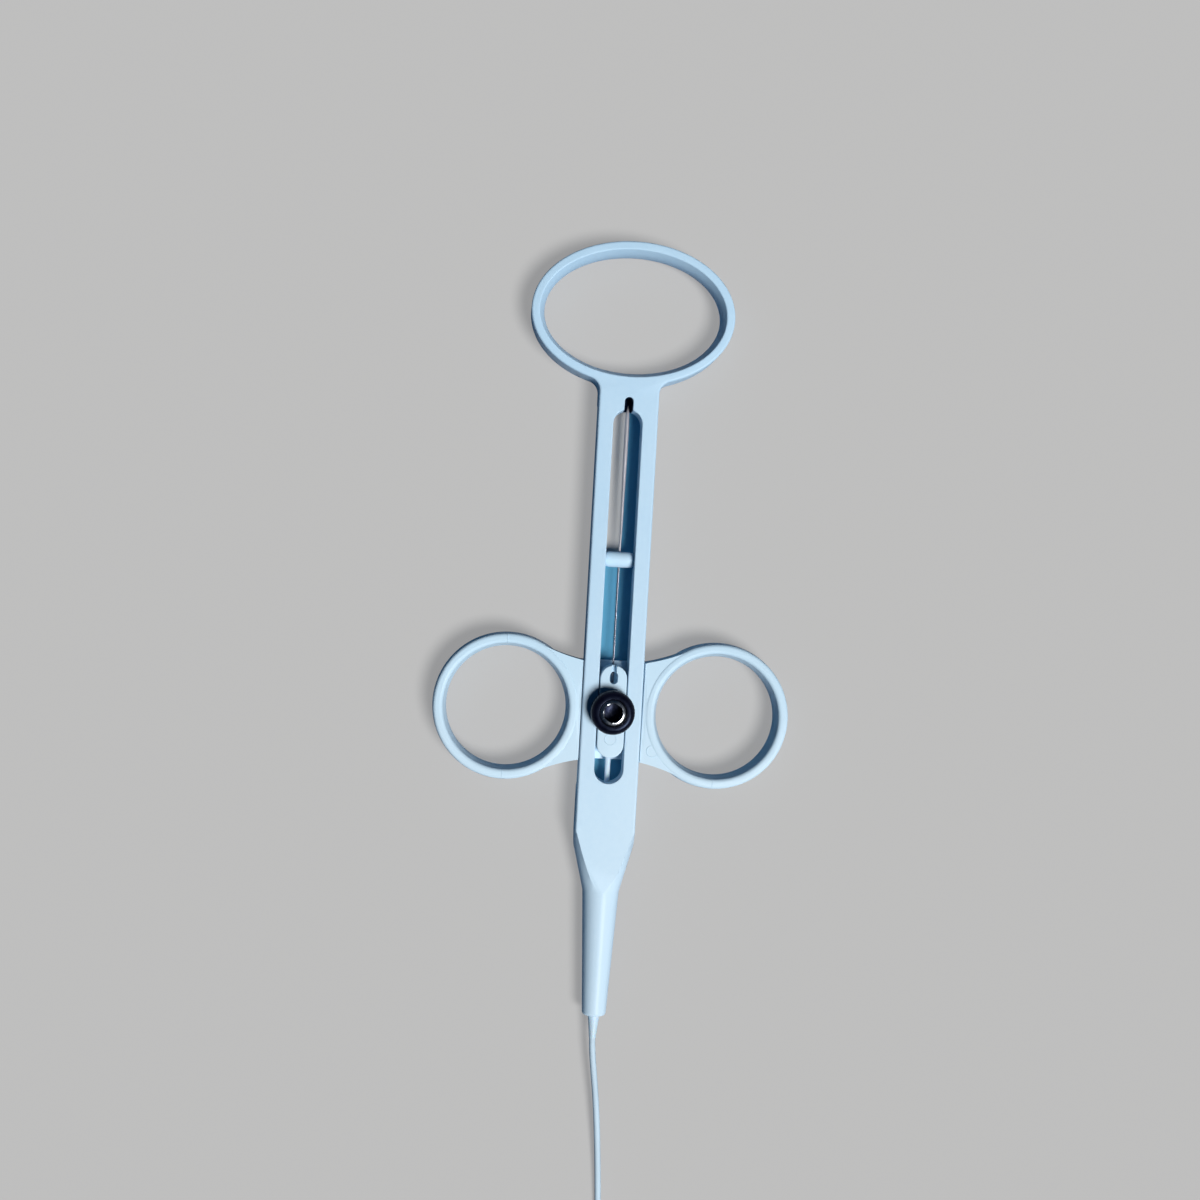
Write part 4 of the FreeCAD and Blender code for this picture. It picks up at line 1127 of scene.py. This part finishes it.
@dataclass
class WireClamp:
    """The black knob with its steel core, the washer, the insert and the shoe."""

    at: tuple[float, float] = (0.0, -15.4)
    floor: float = 7.65
    height: float = 3.4
    radius: float = 4.15
    core: float = 2.6
    socket: float = 1.6
    depth: float = 2.9
    shoulder: float = 1.15
    foot: float = 0.25
    screw_radius: float = 1.5
    screw_foot: float = 4.6

    def build(self) -> None:
        """Makes and dresses the clamp's pieces."""
        self.knob()
        self.screw()
        dress_nodes(Finish.WASHER, "knob_washer")
        dress_nodes(Finish.BRASS, "threaded_insert")
        dress_nodes(Finish.STEEL, "pressure_shoe")

    def knob(self) -> None:
        """The knob's turned profile: a small foot chamfer, a straight wall, a large round shoulder and a
        shallow dish down to the core."""
        top, curl = self.height, self.shoulder
        profile = [(self.core, 0.0), (self.radius - self.foot, 0.0), (self.radius, self.foot)]
        profile += arc((self.radius - curl, top - curl), curl, 0, 90, 14)
        profile += [(self.core + 0.18, top), *arc((self.core + 0.1, top - 0.1), 0.1, 80, 180, 4),
                    (self.core, top - 0.5)]
        knob = turned_piece("knob_body", profile, (*self.at, self.floor), closed=True, segments=128)
        sharpen(knob, 40)
        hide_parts("clamp_knob")
        finished(knob, Finish.KNOB, "clamp")

    def screw(self) -> None:
        """The steel core with its socket, and the screw below it. Round the axis, each ring's radius is a
        circle's, or in the socket a hexagon's: r = apothem / cos(a folded to 30 degrees either side of a
        flat). A row holds radius, height and whether it is the hexagon's."""
        steps = 144
        angle = np.linspace(0, 2 * math.pi, steps, endpoint=False)[:, None]
        folded = (angle + math.pi / 6) % (math.pi / 3) - math.pi / 6
        top, low, core, socket = self.height, self.screw_foot - self.floor, self.core, self.socket
        rows = [
            (0.0, low, 0), (self.screw_radius - 0.2, low, 0), (self.screw_radius, low + 0.25, 0),
            (self.screw_radius, 0.0, 0), (core, 0.0, 0), (core, top - 0.45, 0), (core - 0.05, top - 0.36, 0),
            (core - 0.2, top - 0.2, 0), (core - 0.45, top - 0.1, 0), (core - 0.72, top - 0.035, 0),
            (socket + 0.27, top, 0), (socket + 0.17, top - 0.02, 1), (socket + 0.07, top - 0.07, 1),
            (socket + 0.01, top - 0.17, 1), (socket, top - 0.3, 1), (socket, top - self.depth + 0.1, 1),
            (socket - 0.1, top - self.depth, 1), (socket * 0.5, top - self.depth - 0.04, 0),
            (0.0, top - self.depth - 0.12, 0),
        ]
        radius, height, corner = np.array(rows).T
        reach = radius * np.where(corner, 1 / np.cos(folded), 1.0)
        points = np.stack([self.at[0] + reach * np.cos(angle), self.at[1] + reach * np.sin(angle),
                           np.broadcast_to(self.floor + height, reach.shape)], axis=-1)
        screw = sharpen(grid_piece("screw_core", points * MM, close_u=True), 28)
        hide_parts("clamp_screw")
        finished(screw, Finish.CORE, "clamp")


@dataclass
class DriveWire:
    """The twisted drive wire with its dipped tail, and the tube over it."""

    height: float = 3.5
    low: float = -54.0
    splice: float = 13.6
    strand_radius: float = 0.078
    core_radius: float = 0.09
    lay_radius: float = 0.13
    lay_length: float = 2.3
    points_a_lay: int = 14
    strands: int = 6
    tail_stations: tuple[float, ...] = (13.2, 14.6, 19.8, 27.4, 33.0, 38.0, 40.5, 41.8, 42.8, 43.1)
    tail_radii: tuple[float, ...] = (0.18, 0.2, 0.24, 0.32, 0.405, 0.42, 0.39, 0.3, 0.13, 0.03)
    tail_lean: float = 0.1
    tail_points: int = 180
    tail_window: int = 11
    tube_ends: tuple[float, float] = (-50.0, -19.0)
    tube_radii: tuple[float, float] = (0.525, 0.3)
    tube_lip: float = 0.08

    def build(self) -> None:
        """Makes and dresses the wire, its sleeve and the cannula."""
        count = int((self.splice - self.low) / self.lay_length * self.points_a_lay)
        paths = [self.strand(number, count) for number in range(self.strands)]
        radii = [np.full(count, self.strand_radius)] * self.strands
        paths.append(self.line(self.low, self.splice, count))
        radii.append(np.full(count, self.core_radius))
        joined = swept_pieces("wire_strand", paths, radii, 8)
        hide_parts("drive_wire")
        finished(joined, Finish.WIRE, "spool")
        finished(self.tail(), Finish.TAIL, "spool")
        dress_nodes(Finish.STEEL, "clamp_sleeve")
        self.cannula()

    def line(self, start: float, end: float, count: int) -> np.ndarray:
        """Points on the wire's axis, evenly spaced.

        Args:
            start: The first point's Y.
            end: The last point's Y.
            count: The number of points.

        Returns:
            An array of shape (count, 3), in millimetres.
        """
        y = np.linspace(start, end, count)
        return np.stack([np.zeros(count), y, np.full(count, self.height)], axis=1)

    def strand(self, number: int, count: int) -> np.ndarray:
        """One strand's path: a helix, axis + lay radius * (cos, sin) of its turn and its own phase.

        Args:
            number: The strand's number, which sets its phase.
            count: The number of points.

        Returns:
            An array of shape (count, 3), in millimetres.
        """
        points = self.line(self.low, self.splice, count)
        phase = 2 * math.pi * ((points[:, 1] - self.low) / self.lay_length + number / self.strands)
        points[:, 0] += self.lay_radius * np.cos(phase)
        points[:, 2] += self.lay_radius * np.sin(phase)
        return points

    def tail(self) -> Piece:
        """The soldered tail above the guide bar: it bends a little to the right, and its radius runs
        straight from station to station, is evened out by a moving mean, and carries a slight unevenness,
        as solder has.

        Returns:
            The tail, not dressed yet.
        """
        count, window = self.tail_points, self.tail_window
        points = self.line(self.tail_stations[0], self.tail_stations[-1], count)
        points[:, 0] += self.tail_lean * np.clip((points[:, 1] - self.splice) / 6, 0, 1)
        radius = np.interp(points[:, 1], self.tail_stations, self.tail_radii)
        radius = np.convolve(np.pad(radius, window // 2, "edge"), np.full(window, 1 / window), "valid")
        share = np.linspace(0, 1, count)
        radius *= 1 + 0.02 * np.sin(share * 61) * np.sin(share * 23)
        radius[-4:] *= np.array([0.95, 0.85, 0.65, 0.35])
        return swept_pieces("wire_tail", [points], [radius], 20)

    def cannula(self) -> None:
        """A plain tube with rounded lips."""
        (low, high), (outer, inner), lip = self.tube_ends, self.tube_radii, self.tube_lip
        profile = [(inner, low), (outer - lip, low), (outer, low + lip), (outer, high - lip),
                   (outer - lip, high), (inner, high)]
        tube = turned_piece("cannula_tube", profile, (0, 0, self.height), axis=1, segments=40, closed=True)
        sharpen(tube, 50)
        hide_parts("cannula")
        finished(tube, Finish.TUBE, "spool")


@dataclass
class BiopsyTip:
    """The ferrule, clevis and cup jaws at the sheath's end."""

    shells: tuple[tuple[str, str, str], ...] = (
        ("jaw_left", "cup_left", "left_jaw"), ("jaw_right", "cup_right", "right_jaw"),
        ("tip_ferrule", "ferrule_shell", "root"), ("tip_clevis", "clevis_shell", "root"))
    plain: tuple[str, ...] = ("tip_rivet", "pull_rod", "cross_pin")

    def build(self) -> list[Piece]:
        """Makes and dresses the tip.

        Returns:
            The pieces that belong to the sheath's end.
        """
        pieces = [finished(shell_copy(node, name), Finish.STEEL, body) for node, name, body in self.shells]
        dress_nodes(Finish.STEEL, *self.plain)
        return pieces + [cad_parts[node] for node in self.plain]


def main() -> None:
    """Builds the scene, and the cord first."""
    logging.basicConfig(level=logging.INFO, format="%(name)s: %(message)s")
    Studio().build()
    sheath_maker = Sheath()
    sheath = sheath_maker.build()
    HandleFrame().build()
    FingerSpool().build()
    WireClamp().build()
    DriveWire().build()
    BiopsyTip().build()
    bpy.context.view_layer.update()


if __name__ == "__main__":
    main()
